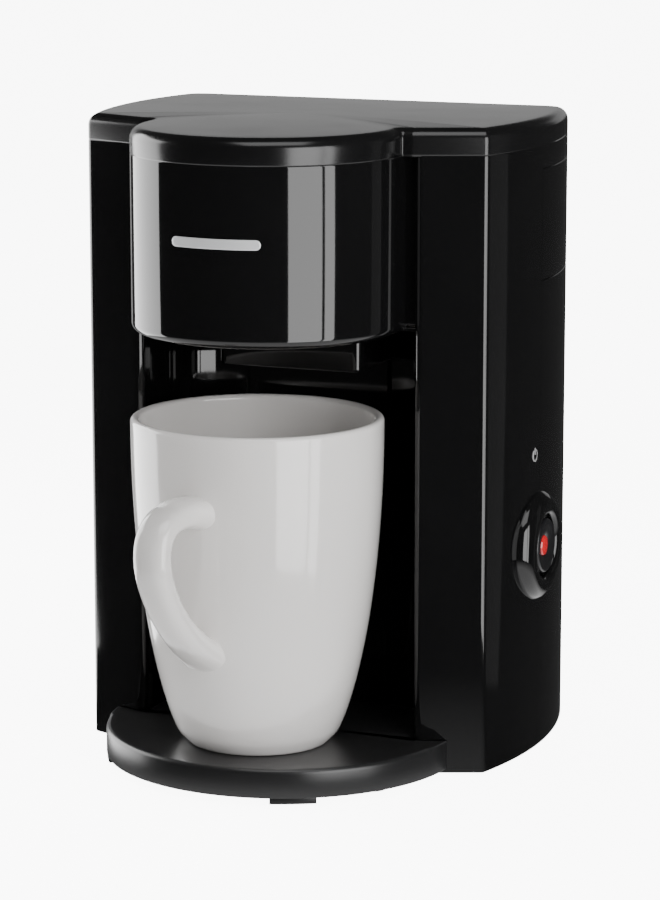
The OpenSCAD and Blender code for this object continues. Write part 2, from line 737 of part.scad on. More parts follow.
// Section of what is cut away to round an upper edge. The wall stands at x = 0
module edge_cut(r, slack = 0.05) translate([slack - r, lid_top - r]) difference() {
    square(r + 4);
    circle(r = r, $fn = 48);
}
module lid_outline() {
    polygon(rounded(both_sides([for (i = [1:len(body_half) - 1]) body_half[i]])));
    head_outline();
}
module lid() color(gloss_black) {
    difference() {
        band(lid_z, lid_top) lid_outline();
        // rounded edges: rear, brew head, then wings
        translate([-body_w, body_back, 0]) rotate([90, 0, 90])
            linear_extrude(2 * body_w) edge_cut(lid_edge_r, 0);
        rotate_extrude(angle = -180) translate([head_r, 0]) edge_cut(lid_rim_r);
        for (s = [0, 1]) mirror([s, 0, 0]) {
            translate([head_r, 0, 0]) rotate([90, 0, 180]) mirror([1, 0, 0])
                linear_extrude(wing_y) edge_cut(lid_rim_r);
            translate([bay_half_w, wing_y, 0]) rotate(wing_sweep) mirror([0, 1, 0]) rotate([90, 0, 90])
                linear_extrude(body_w) edge_cut(lid_rim_r);
        }
        band(lid_z - 1, hinge_z + 2.2) offset(delta = -lid_wall - 0.5) top_outline();
        band(lid_z - 1, lid_top - lid_top_t) offset(delta = -lid_wall - 2.7) top_outline();
        at_hinge(-knuckle_x - knuckle_w - ear_w - 2)
            cylinder(r = lid_edge_r - lid_wall, h = 2 * (knuckle_x + knuckle_w + ear_w + 2));
    }
    for (s = [0, 1]) mirror([s, 0, 0]) difference() {
        union() {
            at_hinge(knuckle_x) cylinder(r = knuckle_r, h = knuckle_w);
            translate([knuckle_x, hinge_y - 3, hinge_z]) cube([knuckle_w, 6, lid_edge_r - 1]);
        }
        at_hinge(knuckle_x - 1) cylinder(r = hinge_pin_r + running_gap, h = knuckle_w + 2, $fn = 48);
    }
}
// Shower plate and water channel under the lid
module lid_liner() color(satin_black) difference() {
    union() {
        translate([0, 0, liner_z]) cylinder(r = shower_r, h = lid_top - lid_top_t - liner_z);
        rotate(spray_angle) translate([0, -channel_w / 2, liner_z])
            cube([spray_end - 1.5, channel_w, lid_top - lid_top_t - liner_z]);
    }
    translate([0, 0, liner_z + 1.2]) cylinder(r = shower_r - 1.4, h = 20);
    rotate(spray_angle) translate([0, 1.2 - channel_w / 2, liner_z + 1.2])
        cube([spray_end + 1, channel_w - 2.4, 20]);
    for (r = [7, 13, 19]) for (i = [0:r - 2]) rotate(i * 360 / (r - 1))
        translate([r, 0, liner_z - 1]) cylinder(r = 0.9, h = 4, $fn = 16);
}

// ---- Filter ----
module filter_basket() color(satin_black) difference() {
    union() {
        rotate_extrude() polygon([[0, basket_z], [basket_low_r, basket_z], [basket_top_r, flange_z],
            [basket_flange_r, flange_z], [basket_flange_r, flange_z + flange_h], [0, flange_z + flange_h]]);
        // finger tabs
        for (s = [-1, 1]) translate([s * (basket_flange_r - 3.6) - 2, -6, flange_z])
            cube([4, 12, flange_h + 2.4]);
    }
    rotate_extrude() polygon([[0, basket_z + basket_wall],
        [basket_low_r - basket_wall, basket_z + basket_wall],
        [basket_top_r - basket_wall, flange_z + flange_h + 5], [0, flange_z + flange_h + 5]]);
    translate([0, 0, basket_z - 1]) cylinder(r = outlet_r, h = basket_wall + 2, $fn = 48);
}
module filter_mesh() color("#8e8a80") rotate_extrude() difference() {
    polygon([[0, basket_z + 5], [mesh_low_r, basket_z + 5], [mesh_top_r, flange_z + flange_h - 1],
             [mesh_top_r, flange_z + flange_h], [0, flange_z + flange_h]]);
    polygon([[0, basket_z + 5 + mesh_wall], [mesh_low_r - mesh_wall, basket_z + 5 + mesh_wall],
             [mesh_top_r - mesh_wall, flange_z + flange_h + 1], [0, flange_z + flange_h + 1]]);
}

// ---- Mug ----
module mug() color("#f2efea") translate([0, mug_y, 0]) {
    difference() {
        union() {
            rotate_extrude() polygon(concat([[0, mug_z]],
                [for (i = [0:20]) [mug_at(i / 20), mug_z + mug_h * i / 20]], [[0, mug_top]]));
            rotate(-90 - handle_turn) mug_handle();
        }
        rotate_extrude() polygon(concat([[0, mug_z + mug_floor]],
            [for (i = [1:20]) let (t = i / 20)
                [mug_at(t) - mug_wall, max(mug_z + mug_h * t, mug_z + mug_floor)]],
            [[mug_r - mug_wall, mug_top + 5], [0, mug_top + 5]]));
        translate([0, 0, mug_z - 1]) cylinder(r = mug_foot_r - 3.5, h = 1 + mug_foot_h);
    }
}
module mug_handle() {
    path = [[mug_r - mug_wall - 0.5, handle_top_z], [handle_reach + 15, handle_top_z + 10],
            [handle_reach + 3, handle_top_z - 28],
            [mug_at(0.33) - mug_wall / 2, handle_low_z]];
    sides = 12;
    steps = 24;
    pts = [for (i = [0:steps]) let (t = i / steps, p = cubic(path, t),
                d = unit(cubic(path, min(t + 0.02, 1)) - cubic(path, max(t - 0.02, 0))),
                grow = 1 + 0.35 * pow(abs(2 * t - 1), 4))
            for (k = [0:sides - 1]) let (b = 360 * k / sides,
                o = handle_t / 2 * grow * sin(b), w = handle_w / 2 * grow * cos(b))
            [p.x - d.y * o, w, p.y + d.x * o]];
    polyhedron(points = pts, faces = tube_faces(steps, sides));
}

front_housing();
bay_panel();
outlet_block();
rear_lower_cover();
rear_upper_cover();
top_deck();
base_plate();
bottom_cover();
rubber_feet();
cover_screws();
water_tank();
brew_chamber();
water_tube();
heating_rod();
heater_clamp();
thermostat();
thermal_fuse();
inlet_hose();
riser_hose();
hose_clips();
check_valve();
spray_nozzle();
switch_bezel();
switch_body();
switch_wires();
terminal_block();
cord_gland();
badge();
hinge_pins();
lid();
lid_liner();
filter_basket();
filter_mesh();
power_button();
lamp_lens();
button_spring();
mug();
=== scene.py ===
import math

import bpy
import bmesh
from mathutils import Matrix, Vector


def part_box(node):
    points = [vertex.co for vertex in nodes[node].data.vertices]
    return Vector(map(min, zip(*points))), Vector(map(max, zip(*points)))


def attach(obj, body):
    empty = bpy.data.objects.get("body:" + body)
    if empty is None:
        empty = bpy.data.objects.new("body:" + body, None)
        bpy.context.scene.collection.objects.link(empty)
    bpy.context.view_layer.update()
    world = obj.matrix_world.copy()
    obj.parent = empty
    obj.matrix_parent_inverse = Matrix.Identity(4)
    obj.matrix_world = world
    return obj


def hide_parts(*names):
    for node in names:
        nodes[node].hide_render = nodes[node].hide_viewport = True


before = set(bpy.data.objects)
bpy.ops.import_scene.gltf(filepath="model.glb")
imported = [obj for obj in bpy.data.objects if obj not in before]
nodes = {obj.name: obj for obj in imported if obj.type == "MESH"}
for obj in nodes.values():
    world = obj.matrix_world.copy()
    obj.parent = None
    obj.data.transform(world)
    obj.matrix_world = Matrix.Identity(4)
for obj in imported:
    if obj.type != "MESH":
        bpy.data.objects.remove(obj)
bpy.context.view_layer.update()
mm = 0.001
print("frame loaded")

# everything below is drawn in millimetres and made in metres
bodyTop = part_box("front_housing")[1].z / mm
lidLow, lidHigh = (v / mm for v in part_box("lid"))
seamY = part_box("rear_lower_cover")[0].y / mm
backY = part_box("rear_upper_cover")[1].y / mm
bayBackY = 45.0  # back wall of the cup bay
grooveY = 10.0   # where the wings meet the brew head


def newObject(name, data):
    made = bpy.data.objects.new(name, data)
    bpy.context.scene.collection.objects.link(made)
    return made


# camera
camera = {
    "place": (0.4192, -1.0107, 0.3185),
    "turn": 21.49,
    "tilt": 11.04,
    "lens": 138.78,
}


def makeCamera():
    data = bpy.data.cameras.new("camera")
    cam = newObject("camera", data)
    data.sensor_width = 36
    data.lens = camera["lens"]
    data.clip_start = 0.05
    data.clip_end = 30
    cam.location = camera["place"]
    cam.rotation_euler = (math.radians(90 - camera["tilt"]), 0, math.radians(camera["turn"]))
    bpy.context.scene.camera = cam


makeCamera()
print("camera placed")


# drawing in plan
def unit(x, y):
    size = math.hypot(x, y)
    return x / size, y / size


def roundCorner(a, p, b):
    # points that round the corner p = (x, y, radius) between its neighbours
    if p[2] <= 0:
        return [(p[0], p[1])]
    ux, uy = unit(a[0] - p[0], a[1] - p[1])
    vx, vy = unit(b[0] - p[0], b[1] - p[1])
    half = math.acos(max(-1, min(1, ux * vx + uy * vy))) / 2
    wx, wy = unit(ux + vx, uy + vy)
    far = p[2] / math.sin(half)
    cx, cy = p[0] + wx * far, p[1] + wy * far
    run = p[2] / math.tan(half)
    a0 = math.atan2(p[1] + uy * run - cy, p[0] + ux * run - cx)
    a1 = math.atan2(p[1] + vy * run - cy, p[0] + vx * run - cx)
    turn = (a1 - a0 + 3 * math.pi) % (2 * math.pi) - math.pi
    step = 0.7 if p[2] > 60 else 2.5 if p[2] > 15 else 6
    count = max(3, math.ceil(abs(math.degrees(turn)) / step))
    return [(cx + p[2] * math.cos(a0 + turn * i / count),
             cy + p[2] * math.sin(a0 + turn * i / count)) for i in range(count + 1)]


def roundLine(points):
    line = [points[0][:2]]
    for i in range(1, len(points) - 1):
        line += roundCorner(points[i - 1], points[i], points[i + 1])
    return line + [points[-1][:2]]


def arcPoints(cx, cy, r, a0, a1, step=2.0):
    count = max(2, math.ceil(abs(a1 - a0) / step))
    turns = [math.radians(a0 + (a1 - a0) * i / count) for i in range(count + 1)]
    return [(cx + r * math.cos(t), cy + r * math.sin(t)) for t in turns]


def fineLine(line, step):
    # adds points along the straight stretches of a closed line
    fine = []
    for (x0, y0), (x1, y1) in zip(line, line[1:] + line[:1]):
        count = max(1, math.ceil(math.hypot(x1 - x0, y1 - y0) / step))
        fine += [(x0 + (x1 - x0) * k / count, y0 + (y1 - y0) * k / count) for k in range(count)]
    return fine


def mirrored(line):
    return [(-x, y) for x, y in reversed(line)]


def cutAtY(line, y):
    # splits a line where it first crosses y: the part before and the part after
    for i in range(1, len(line)):
        (x0, y0), (x1, y1) = line[i - 1], line[i]
        if (y0 - y) * (y1 - y) < 0:
            x = x0 + (x1 - x0) * (y - y0) / (y1 - y0)
            return line[:i] + [(x, y)], [(x, y)] + line[i:]
    return line, []


def insetLine(line, inset, closed):
    # moves a line towards its right-hand side; inset is a number or one per point
    n = len(line)
    moved = []
    for i, (x, y) in enumerate(line):
        ahead = line[(i + 1) % n] if closed or i < n - 1 else None
        behind = line[i - 1] if closed or i > 0 else None
        normals = []
        if behind:
            dx, dy = unit(x - behind[0], y - behind[1])
            normals.append((dy, -dx))
        if ahead:
            dx, dy = unit(ahead[0] - x, ahead[1] - y)
            normals.append((dy, -dx))
        nx = sum(v[0] for v in normals) / len(normals)
        ny = sum(v[1] for v in normals) / len(normals)
        spread = max(0.35, nx * nx + ny * ny)
        d = inset[i] if isinstance(inset, list) else inset
        moved.append((x + nx * d / spread, y + ny * d / spread))
    return moved


# meshes
def makePiece(name, verts, faces, sharp=32):
    mesh = bpy.data.meshes.new(name)
    mesh.from_pydata([(x * mm, y * mm, z * mm) for x, y, z in verts], [], faces)
    return finishPiece(name, mesh, sharp)


def finishPiece(name, mesh, sharp=32):
    bm = bmesh.new()
    bm.from_mesh(mesh)
    bmesh.ops.remove_doubles(bm, verts=bm.verts, dist=1e-6)
    bmesh.ops.dissolve_degenerate(bm, edges=bm.edges, dist=1e-7)
    bmesh.ops.recalc_face_normals(bm, faces=bm.faces)
    limit = math.radians(sharp)
    for face in bm.faces:
        face.smooth = True
    for edge in bm.edges:
        edge.smooth = len(edge.link_faces) != 2 or edge.calc_face_angle(0) < limit
    bm.to_mesh(mesh)
    bm.free()
    return newObject(name, mesh)


def joinPieces(name, pieces):
    bm = bmesh.new()
    for piece in pieces:
        bm.from_mesh(piece.data)
        bpy.data.objects.remove(piece)
    mesh = bpy.data.meshes.new(name)
    bm.to_mesh(mesh)
    bm.free()
    return newObject(name, mesh)


def sweepWall(name, line, section):
    # a closed section of (inset, z) pulled along an open line in plan
    rows = [insetLine(line, spot[0], False) for spot in section]
    n, m = len(line), len(section)
    verts = [(rows[j][i][0], rows[j][i][1], section[j][1]) for i in range(n) for j in range(m)]
    faces = []
    for i in range(n - 1):
        for j in range(m):
            a, b = i * m, (i + 1) * m
            faces.append((a + j, b + j, b + (j + 1) % m, a + (j + 1) % m))
    faces += [tuple(range(m)), tuple((n - 1) * m + j for j in range(m))]
    return makePiece(name, verts, faces)


def stackRows(name, line, rows, centre, sharp=32):
    # rows of (inset, z, scale) over a closed line; a scale of 0 closes to the centre
    verts, faces, last = [], [], None
    n = len(line)
    for inset, z, scale in rows:
        start = len(verts)
        if scale == 0:
            verts.append((*centre, z))
            ring = [start] * n
        else:
            for i, (x, y) in enumerate(insetLine(line, inset, True)):
                height = z[i] if isinstance(z, list) else z
                verts.append((centre[0] + (x - centre[0]) * scale,
                              centre[1] + (y - centre[1]) * scale, height))
            ring = list(range(start, start + n))
        if last:
            for i in range(n):
                k = (i + 1) % n
                face = [last[i], last[k], ring[k], ring[i]]
                face = [v for j, v in enumerate(face) if v not in face[:j]]
                faces.append(tuple(face))
        last = ring
    return makePiece(name, verts, faces, sharp)


def revolve(name, profile, place, axis="Z", steps=96, sharp=32):
    # turns a profile of (radius, along) about the Z or X axis through place
    verts, faces, rings = [], [], []
    for r, along in profile:
        count = 1 if r == 0 else steps
        rings.append((len(verts), count))
        for i in range(count):
            a = 2 * math.pi * i / steps
            u, v = r * math.cos(a), r * math.sin(a)
            spot = (u, v, along) if axis == "Z" else (along, u, v)
            verts.append(tuple(p + q for p, q in zip(spot, place)))
    joined = list(zip(rings, rings[1:]))
    if profile[0][0] and profile[-1][0]:
        joined.append((rings[-1], rings[0]))
    for (a, na), (b, nb) in joined:
        for i in range(steps):
            k = (i + 1) % steps
            face = [a + i % na, a + k % na, b + k % nb, b + i % nb]
            face = [v for j, v in enumerate(face) if v not in face[:j]]
            if len(face) > 2:
                faces.append(tuple(face))
    return makePiece(name, verts, faces, sharp)


def roundedSection(z0, z1, thick, low=0.4, high=0.5):
    # wall section with softened outer edges
    inner = 0.3  # rounding on the hidden side
    def quarter(cx, cz, r, a0):
        return [(cx + r * math.cos(math.radians(a)), cz + r * math.sin(math.radians(a)))
                for a in (a0, a0 - 22.5, a0 - 45, a0 - 67.5, a0 - 90)]
    section = quarter(high, z1 - high, high, 180)
    section += quarter(thick - inner, z1 - inner, inner, 90)
    section += quarter(thick - inner, z0 + inner, inner, 0)
    section += quarter(low, z0 + low, low, -90)
    return section


def slab(name, line, z0, z1, centre, low=0.4, high=0.6):
    # solid plate with softened edges
    rows = [(low, z0, 0), (low, z0, 0.5), (low, z0, 1)]
    for a in (30, 60, 90):
        t = math.radians(a)
        rows.append((low * (1 - math.sin(t)), z0 + low * (1 - math.cos(t)), 1))
    for a in (0, 22.5, 45, 67.5, 90):
        t = math.radians(a)
        rows.append((high * (1 - math.cos(t)), z1 - high * (1 - math.sin(t)), 1))
    for scale in (0.85, 0.7, 0.55, 0.4, 0.25, 0.12, 0):
        rows.append((high, z1, scale))
    return stackRows(name, line, rows, centre)


# shader groups that several finishes share
def newGroup(name, inputs, outputs):
    group = bpy.data.node_groups.new(name, "ShaderNodeTree")
    for label, kind, value in inputs:
        socket = group.interface.new_socket(label, in_out="INPUT", socket_type=kind)
        socket.default_value = value
    for label, kind in outputs:
        group.interface.new_socket(label, in_out="OUTPUT", socket_type=kind)
    return group, group.nodes.new("NodeGroupInput"), group.nodes.new("NodeGroupOutput")


def plug(tree, socket, value):
    # a link where the value comes from a node, a plain value otherwise
    if isinstance(value, bpy.types.NodeSocket):
        tree.links.new(value, socket)
    else:
        socket.default_value = value


def addNode(tree, kind, wires=None, **settings):
    node = tree.nodes.new(kind)
    for key, value in settings.items():
        setattr(node, key, value)
    for key, value in (wires or {}).items():
        plug(tree, node.inputs[key], value)
    return node


def mathNode(tree, operation, a, b=0.0, c=0.0):
    node = addNode(tree, "ShaderNodeMath", operation=operation)
    for socket, value in zip(node.inputs, (a, b, c)):
        plug(tree, socket, value)
    return node.outputs[0]


def mixColour(tree, factor, a, b):
    node = addNode(tree, "ShaderNodeMix", data_type="RGBA")
    for index, value in ((0, factor), (6, a), (7, b)):
        plug(tree, node.inputs[index], value)
    return node.outputs[2]


def makeMouldingGroup():
    # the slight unevenness of a moulded or glazed surface, with fine grain
    group, given, out = newGroup(
        "mouldingSurface",
        [("Colour", "NodeSocketColor", (0.02, 0.02, 0.02, 1)),
         ("Tint", "NodeSocketColor", (0.03, 0.03, 0.03, 1)),
         ("Roughness", "NodeSocketFloat", 0.2),
         ("Variation", "NodeSocketFloat", 0.05),
         ("Wave Size", "NodeSocketFloat", 40.0),
         ("Grain Size", "NodeSocketFloat", 2500.0),
         ("Grain", "NodeSocketFloat", 0.3)],
        [("Colour", "NodeSocketColor"), ("Roughness", "NodeSocketFloat"),
         ("Height", "NodeSocketFloat")])
    where = addNode(group, "ShaderNodeTexCoord").outputs["Object"]
    wave = addNode(group, "ShaderNodeTexNoise",
                   {"Vector": where, "Scale": given.outputs["Wave Size"], "Detail": 2.0})
    grain = addNode(group, "ShaderNodeTexNoise",
                    {"Vector": where, "Scale": given.outputs["Grain Size"], "Detail": 3.0})
    centred = mathNode(group, "SUBTRACT", wave.outputs["Fac"], 0.5)
    rough = mathNode(group, "MULTIPLY_ADD", centred, given.outputs["Variation"],
                     given.outputs["Roughness"])
    colour = mixColour(group, wave.outputs["Fac"], given.outputs["Colour"], given.outputs["Tint"])
    height = mathNode(group, "MULTIPLY_ADD", grain.outputs["Fac"], given.outputs["Grain"],
                      mathNode(group, "MULTIPLY", wave.outputs["Fac"], 0.6))
    group.links.new(colour, out.inputs["Colour"])
    group.links.new(rough, out.inputs["Roughness"])
    group.links.new(height, out.inputs["Height"])
    return group


def makeDustGroup():
    # sparse specks and a faint film of dust that settles on what faces up
    group, given, out = newGroup(
        "settledDust",
        [("Amount", "NodeSocketFloat", 0.1), ("Speck Size", "NodeSocketFloat", 900.0)],
        [("Mask", "NodeSocketFloat")])
    where = addNode(group, "ShaderNodeTexCoord").outputs["Object"]
    up = addNode(group, "ShaderNodeSeparateXYZ",
                 {"Vector": addNode(group, "ShaderNodeNewGeometry").outputs["Normal"]}).outputs["Z"]
    film = addNode(group, "ShaderNodeTexNoise", {"Vector": where, "Scale": 60.0, "Detail": 6.0})
    speck = addNode(group, "ShaderNodeTexVoronoi",
                    {"Vector": where, "Scale": given.outputs["Speck Size"]})
    near = mathNode(group, "LESS_THAN", speck.outputs["Distance"], 0.12)
    facing = mathNode(group, "MAXIMUM", up, 0.0)
    mask = mathNode(group, "MULTIPLY_ADD", near, 0.35, mathNode(group, "POWER", film.outputs["Fac"], 3.0))
    mask = mathNode(group, "MULTIPLY", mathNode(group, "MULTIPLY", mask, facing),
                    given.outputs["Amount"])
    group.links.new(mask, out.inputs["Mask"])
    return group


mouldingGroup = makeMouldingGroup()
dustGroup = makeDustGroup()


def finish(name, colour, tint, roughness, variation=0.04, waveSize=40, grainSize=2500,
           grain=0.3, bump=0.02, depth=0.0002, dust=0.0, metallic=0.0, coat=0.0,
           coatRoughness=0.03, ior=1.5, sheen=0.0, emission=None):
    material = bpy.data.materials.new(name)
    material.use_nodes = True
    tree = material.node_tree
    shader = tree.nodes["Principled BSDF"]
    surface = addNode(tree, "ShaderNodeGroup")
    surface.node_tree = mouldingGroup
    values = {"Colour": (*colour, 1), "Tint": (*tint, 1), "Roughness": roughness,
              "Variation": variation, "Wave Size": waveSize, "Grain Size": grainSize,
              "Grain": grain}
    for key, value in values.items():
        surface.inputs[key].default_value = value
    colourOut, roughOut = surface.outputs["Colour"], surface.outputs["Roughness"]
    if dust:
        settled = addNode(tree, "ShaderNodeGroup")
        settled.node_tree = dustGroup
        settled.inputs["Amount"].default_value = dust
        colourOut = mixColour(tree, settled.outputs["Mask"], colourOut, (0.35, 0.34, 0.32, 1))
        roughOut = mathNode(tree, "ADD", roughOut, settled.outputs["Mask"])
    tree.links.new(colourOut, shader.inputs["Base Color"])
    tree.links.new(roughOut, shader.inputs["Roughness"])
    shader.inputs["Metallic"].default_value = metallic
    shader.inputs["Coat Weight"].default_value = coat
    shader.inputs["Coat Roughness"].default_value = coatRoughness
    shader.inputs["IOR"].default_value = ior
    shader.inputs["Sheen Weight"].default_value = sheen
    if emission:
        shader.inputs["Emission Color"].default_value = (*emission[:3], 1)
        shader.inputs["Emission Strength"].default_value = emission[3]
    bumpNode = addNode(tree, "ShaderNodeBump", {"Height": surface.outputs["Height"],
                                                "Strength": bump, "Distance": depth})
    tree.links.new(bumpNode.outputs["Normal"], shader.inputs["Normal"])
    return material


glossBlack = finish("polished_black", (0.0035, 0.0035, 0.0037), (0.005, 0.005, 0.0052), 0.055,
                    variation=0.03, waveSize=30, grain=0.1, bump=0.03, dust=0.02)
lidBlack = finish("polished_black_lid", (0.0045, 0.0045, 0.0048), (0.006, 0.006, 0.0062), 0.20,
                  variation=0.05, waveSize=25, grain=0.2, bump=0.04, dust=0.03)
satinBlack = finish("satin_black", (0.010, 0.010, 0.011), (0.016, 0.016, 0.017), 0.38,
                    variation=0.1, waveSize=60, grain=0.8, bump=0.12, dust=0.05)
buttonBlack = finish("button_black", (0.008, 0.008, 0.009), (0.012, 0.012, 0.013), 0.30,
                     variation=0.08, waveSize=150, grain=0.8, bump=0.1)
tankBlack = finish("tank_black", (0.014, 0.014, 0.015), (0.02, 0.02, 0.022), 0.42,
                   variation=0.1, waveSize=50, grain=0.8, bump=0.15)
rubberBlack = finish("soft_rubber", (0.018, 0.018, 0.018), (0.03, 0.03, 0.03), 0.75,
                     variation=0.15, waveSize=200, grain=1.0, bump=0.35, sheen=0.15)
platedSteel = finish("plated_steel", (0.52, 0.53, 0.54), (0.62, 0.62, 0.63), 0.26,
                     variation=0.15, waveSize=300, grain=0.6, bump=0.08, metallic=1.0)
drawnAluminium = finish("drawn_aluminium", (0.6, 0.61, 0.63), (0.7, 0.71, 0.72), 0.32,
                        variation=0.15, waveSize=200, grain=0.6, bump=0.1, metallic=1.0)
milkySilicone = finish("milky_silicone", (0.62, 0.6, 0.55), (0.72, 0.7, 0.66), 0.42,
                       variation=0.1, waveSize=120, grain=0.5, bump=0.1)
valveWhite = finish("valve_white", (0.74, 0.74, 0.72), (0.8, 0.8, 0.78), 0.4, waveSize=200)
wireRed = finish("wire_red", (0.3, 0.03, 0.025), (0.38, 0.05, 0.04), 0.4, waveSize=300)
terminalIvory = finish("terminal_ivory", (0.68, 0.63, 0.52), (0.75, 0.7, 0.6), 0.45, waveSize=150)
silverBar = finish("silver_bar", (0.78, 0.79, 0.8), (0.84, 0.85, 0.86), 0.42,
                   variation=0.06, waveSize=150, grain=0.3, bump=0.03, metallic=0.35)
markGrey = finish("printed_grey", (0.42, 0.42, 0.43), (0.5, 0.5, 0.5), 0.4, waveSize=600)
nylonMesh = finish("nylon_mesh", (0.3, 0.27, 0.22), (0.4, 0.37, 0.32), 0.5, waveSize=300)
redLens = finish("red_lens", (0.5, 0.006, 0.01), (0.65, 0.012, 0.018), 0.08, waveSize=700,
                 grain=0.2, coat=0.8, emission=(0.9, 0.02, 0.03, 0.25))
glaze = finish("white_glaze", (0.80, 0.775, 0.755), (0.83, 0.81, 0.79), 0.16, variation=0.06,
               waveSize=22, grainSize=700, grain=0.25, bump=0.05, depth=0.0004,
               coat=0.6, coatRoughness=0.05)
print("finishes made")


def place(piece, material, body, slotName, *replaced):
    piece.data.materials.clear()
    piece.data.materials.append(material)
    for face in piece.data.polygons:
        face.material_index = 0
    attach(piece, body)
    if replaced:
        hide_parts(*replaced)


# casing
casing = {
    "wall": 2.4,
    "floorZ": 1.0,       # lower edge of the casing
    "headRadius": 43.5,
    "headZ": 144.5,
    "headEdge": 3.0,
    "rearSeamZ": 157.0,
    "bandZ": 193.5,
    "bayHalfWidth": 47.0,
    "bayCorner": 22.0,
    "wingY": 5.0,
    "wingCorner": 2.5,
    "rearCorner": 8.0,
    "halfWidth": 75.0,
    "sideRadius": 145.0,
    "sideTurn": 15.6,    # lean of the two straight runs of a side
    "sideY": 54.6,       # where those two runs would meet
    "sweep": 21.5,       # how far the wings lean back, in degrees
    "ceilingLap": 0.5,   # how far the ceiling runs into the bay's wall
    "seamGap": 0.25,     # shadow gap between two mouldings
}
sideY = casing["sideY"]
sideRadius = casing["sideRadius"]
sideLean = math.tan(math.radians(casing["sideTurn"]))
sideX = casing["halfWidth"] + sideRadius * (1 / math.cos(math.radians(casing["sideTurn"])) - 1)
sweepBack = math.tan(math.radians(casing["sweep"]))
wingReach = sideX - sideY * sideLean - casing["bayHalfWidth"]
wingCornerY = (casing["wingY"] + wingReach * sweepBack) / (1 - sideLean * sweepBack)
wingCornerX = sideX - (sideY - wingCornerY) * sideLean
rearCornerX = sideX - (backY - sideY) * sideLean
sideCorners = [(0, backY, 0), (rearCornerX, backY, casing["rearCorner"]),
               (sideX, sideY, sideRadius * 0.98),
               (wingCornerX, wingCornerY, casing["wingCorner"]),
               (casing["bayHalfWidth"], casing["wingY"], casing["wingCorner"])]
headFront = arcPoints(0, 0, casing["headRadius"], 0, -90, 1.5)


def makeCasing():
    c = casing
    half = c["bayHalfWidth"]
    toBay = roundLine(sideCorners + [(half, grooveY + c["wall"], 0)])
    rear, wing = cutAtY(toBay, seamY)
    wingSection = roundedSection(c["floorZ"], bodyTop, c["wall"], high=0.9)
    wings = [sweepWall("wing", wing, wingSection), sweepWall("wing", mirrored(wing), wingSection)]

    toHead = [(half + 1, grooveY), (c["headRadius"], grooveY)] + headFront
    r, z0 = c["headEdge"], c["headZ"]
    lowEdge = [(r * (1 - math.cos(math.radians(a))), z0 + r * (1 - math.sin(math.radians(a))))
               for a in range(0, 91, 9)]
    headSection = roundedSection(z0 + r, bodyTop, c["wall"], low=0.01, high=0.9)[:-10]
    headSection += [(c["wall"], z0 + r + 1), (6, z0 + c["wall"]), (6, z0)] + lowEdge[::-1]
    head = sweepWall("head", toHead + mirrored(toHead)[1:], headSection)

    ring = mirrored(rear) + rear[1:]
    band = sweepWall("band", ring, roundedSection(c["bandZ"], bodyTop, c["wall"], low=0.15, high=0.9))
    inner = c["headRadius"] - 5
    backEdge, sideEdge = bayBackY + c["ceilingLap"], half + c["ceilingLap"]
    ceiling = [(0, backEdge), (sideEdge, backEdge), (sideEdge, grooveY + 1), (inner, grooveY + 1)]
    ceiling += arcPoints(0, 0, inner, 0, -180, 3)
    ceiling += [(-inner, grooveY + 1), (-sideEdge, grooveY + 1), (-sideEdge, backEdge)]
    floor = slab("ceiling", ceiling, z0 + 0.05, z0 + c["wall"], (0, 20), 0.1, 0.1)
    shell = joinPieces("housing_shell", wings + [head, band, floor])
    place(shell, glossBlack, "body", "gloss_black", "front_housing")

    gap = c["seamGap"] / 2
    # the rear covers stand a hair behind the seam, so it reads as a fine dark line
    rearOnly = cutAtY(rear[::-1], seamY + c["seamGap"])[1]
    ringBack = (rearOnly + mirrored(rearOnly)[1:])[::-1]
    lower = sweepWall("rear_cover_low", ringBack,
                      roundedSection(c["floorZ"], c["rearSeamZ"] - gap, c["wall"], high=0.25))
    place(lower, glossBlack, "body", "gloss_black", "rear_lower_cover")
    upper = sweepWall("rear_cover_high", ringBack,
                      roundedSection(c["rearSeamZ"] + gap, c["bandZ"] - gap, c["wall"], low=0.25, high=0.2))
    place(upper, glossBlack, "body", "gloss_black", "rear_upper_cover")


def makeBay():
    c = casing
    half = c["bayHalfWidth"]
    frontY = grooveY + c["wall"] + 0.2
    line = roundLine([(half, frontY, 0), (half, bayBackY, c["bayCorner"]),
                      (-half, bayBackY, c["bayCorner"]), (-half, frontY, 0)])
    wall = sweepWall("bay_wall", line, roundedSection(2.6, c["headZ"] - 0.1, c["wall"]))
    panel = [(25, 45.2), (25, 43.9), (24.5, 43.4), (-24.5, 43.4), (-25, 43.9), (-25, 45.2)]
    raised = slab("raised", panel, 12.3, 128.6, (0, 44.3), 0.2, 0.2)
    place(joinPieces("bay_lining", [wall, raised]), glossBlack, "body", "gloss_black", "bay_panel")
    front = roundLine([(0, 44.9, 0), (25, 44.9, 0.5), (25, 17.7, 3), (0, 17.7, 0)])
    block = slab("outlet_housing", front + mirrored(front)[1:-1], 128.7, 144.45, (0, 31), 1.0, 0.3)
    place(block, glossBlack, "body", "satin_black", "outlet_block")


makeCasing()
makeBay()
print("casing made")


# lid
lidShape = {
    "rearRound": 6.0,
    "rimRound": 3.8,
    "wall": 2.0,
    "crown": 1.0,
    "ceiling": 2.0,
    "knuckleX": (46, 54),
    "pinY": 94.0,
    "pinZ": 204.6,
    "knuckleRadius": 4.1,
    "pinRadius": 1.56,
}


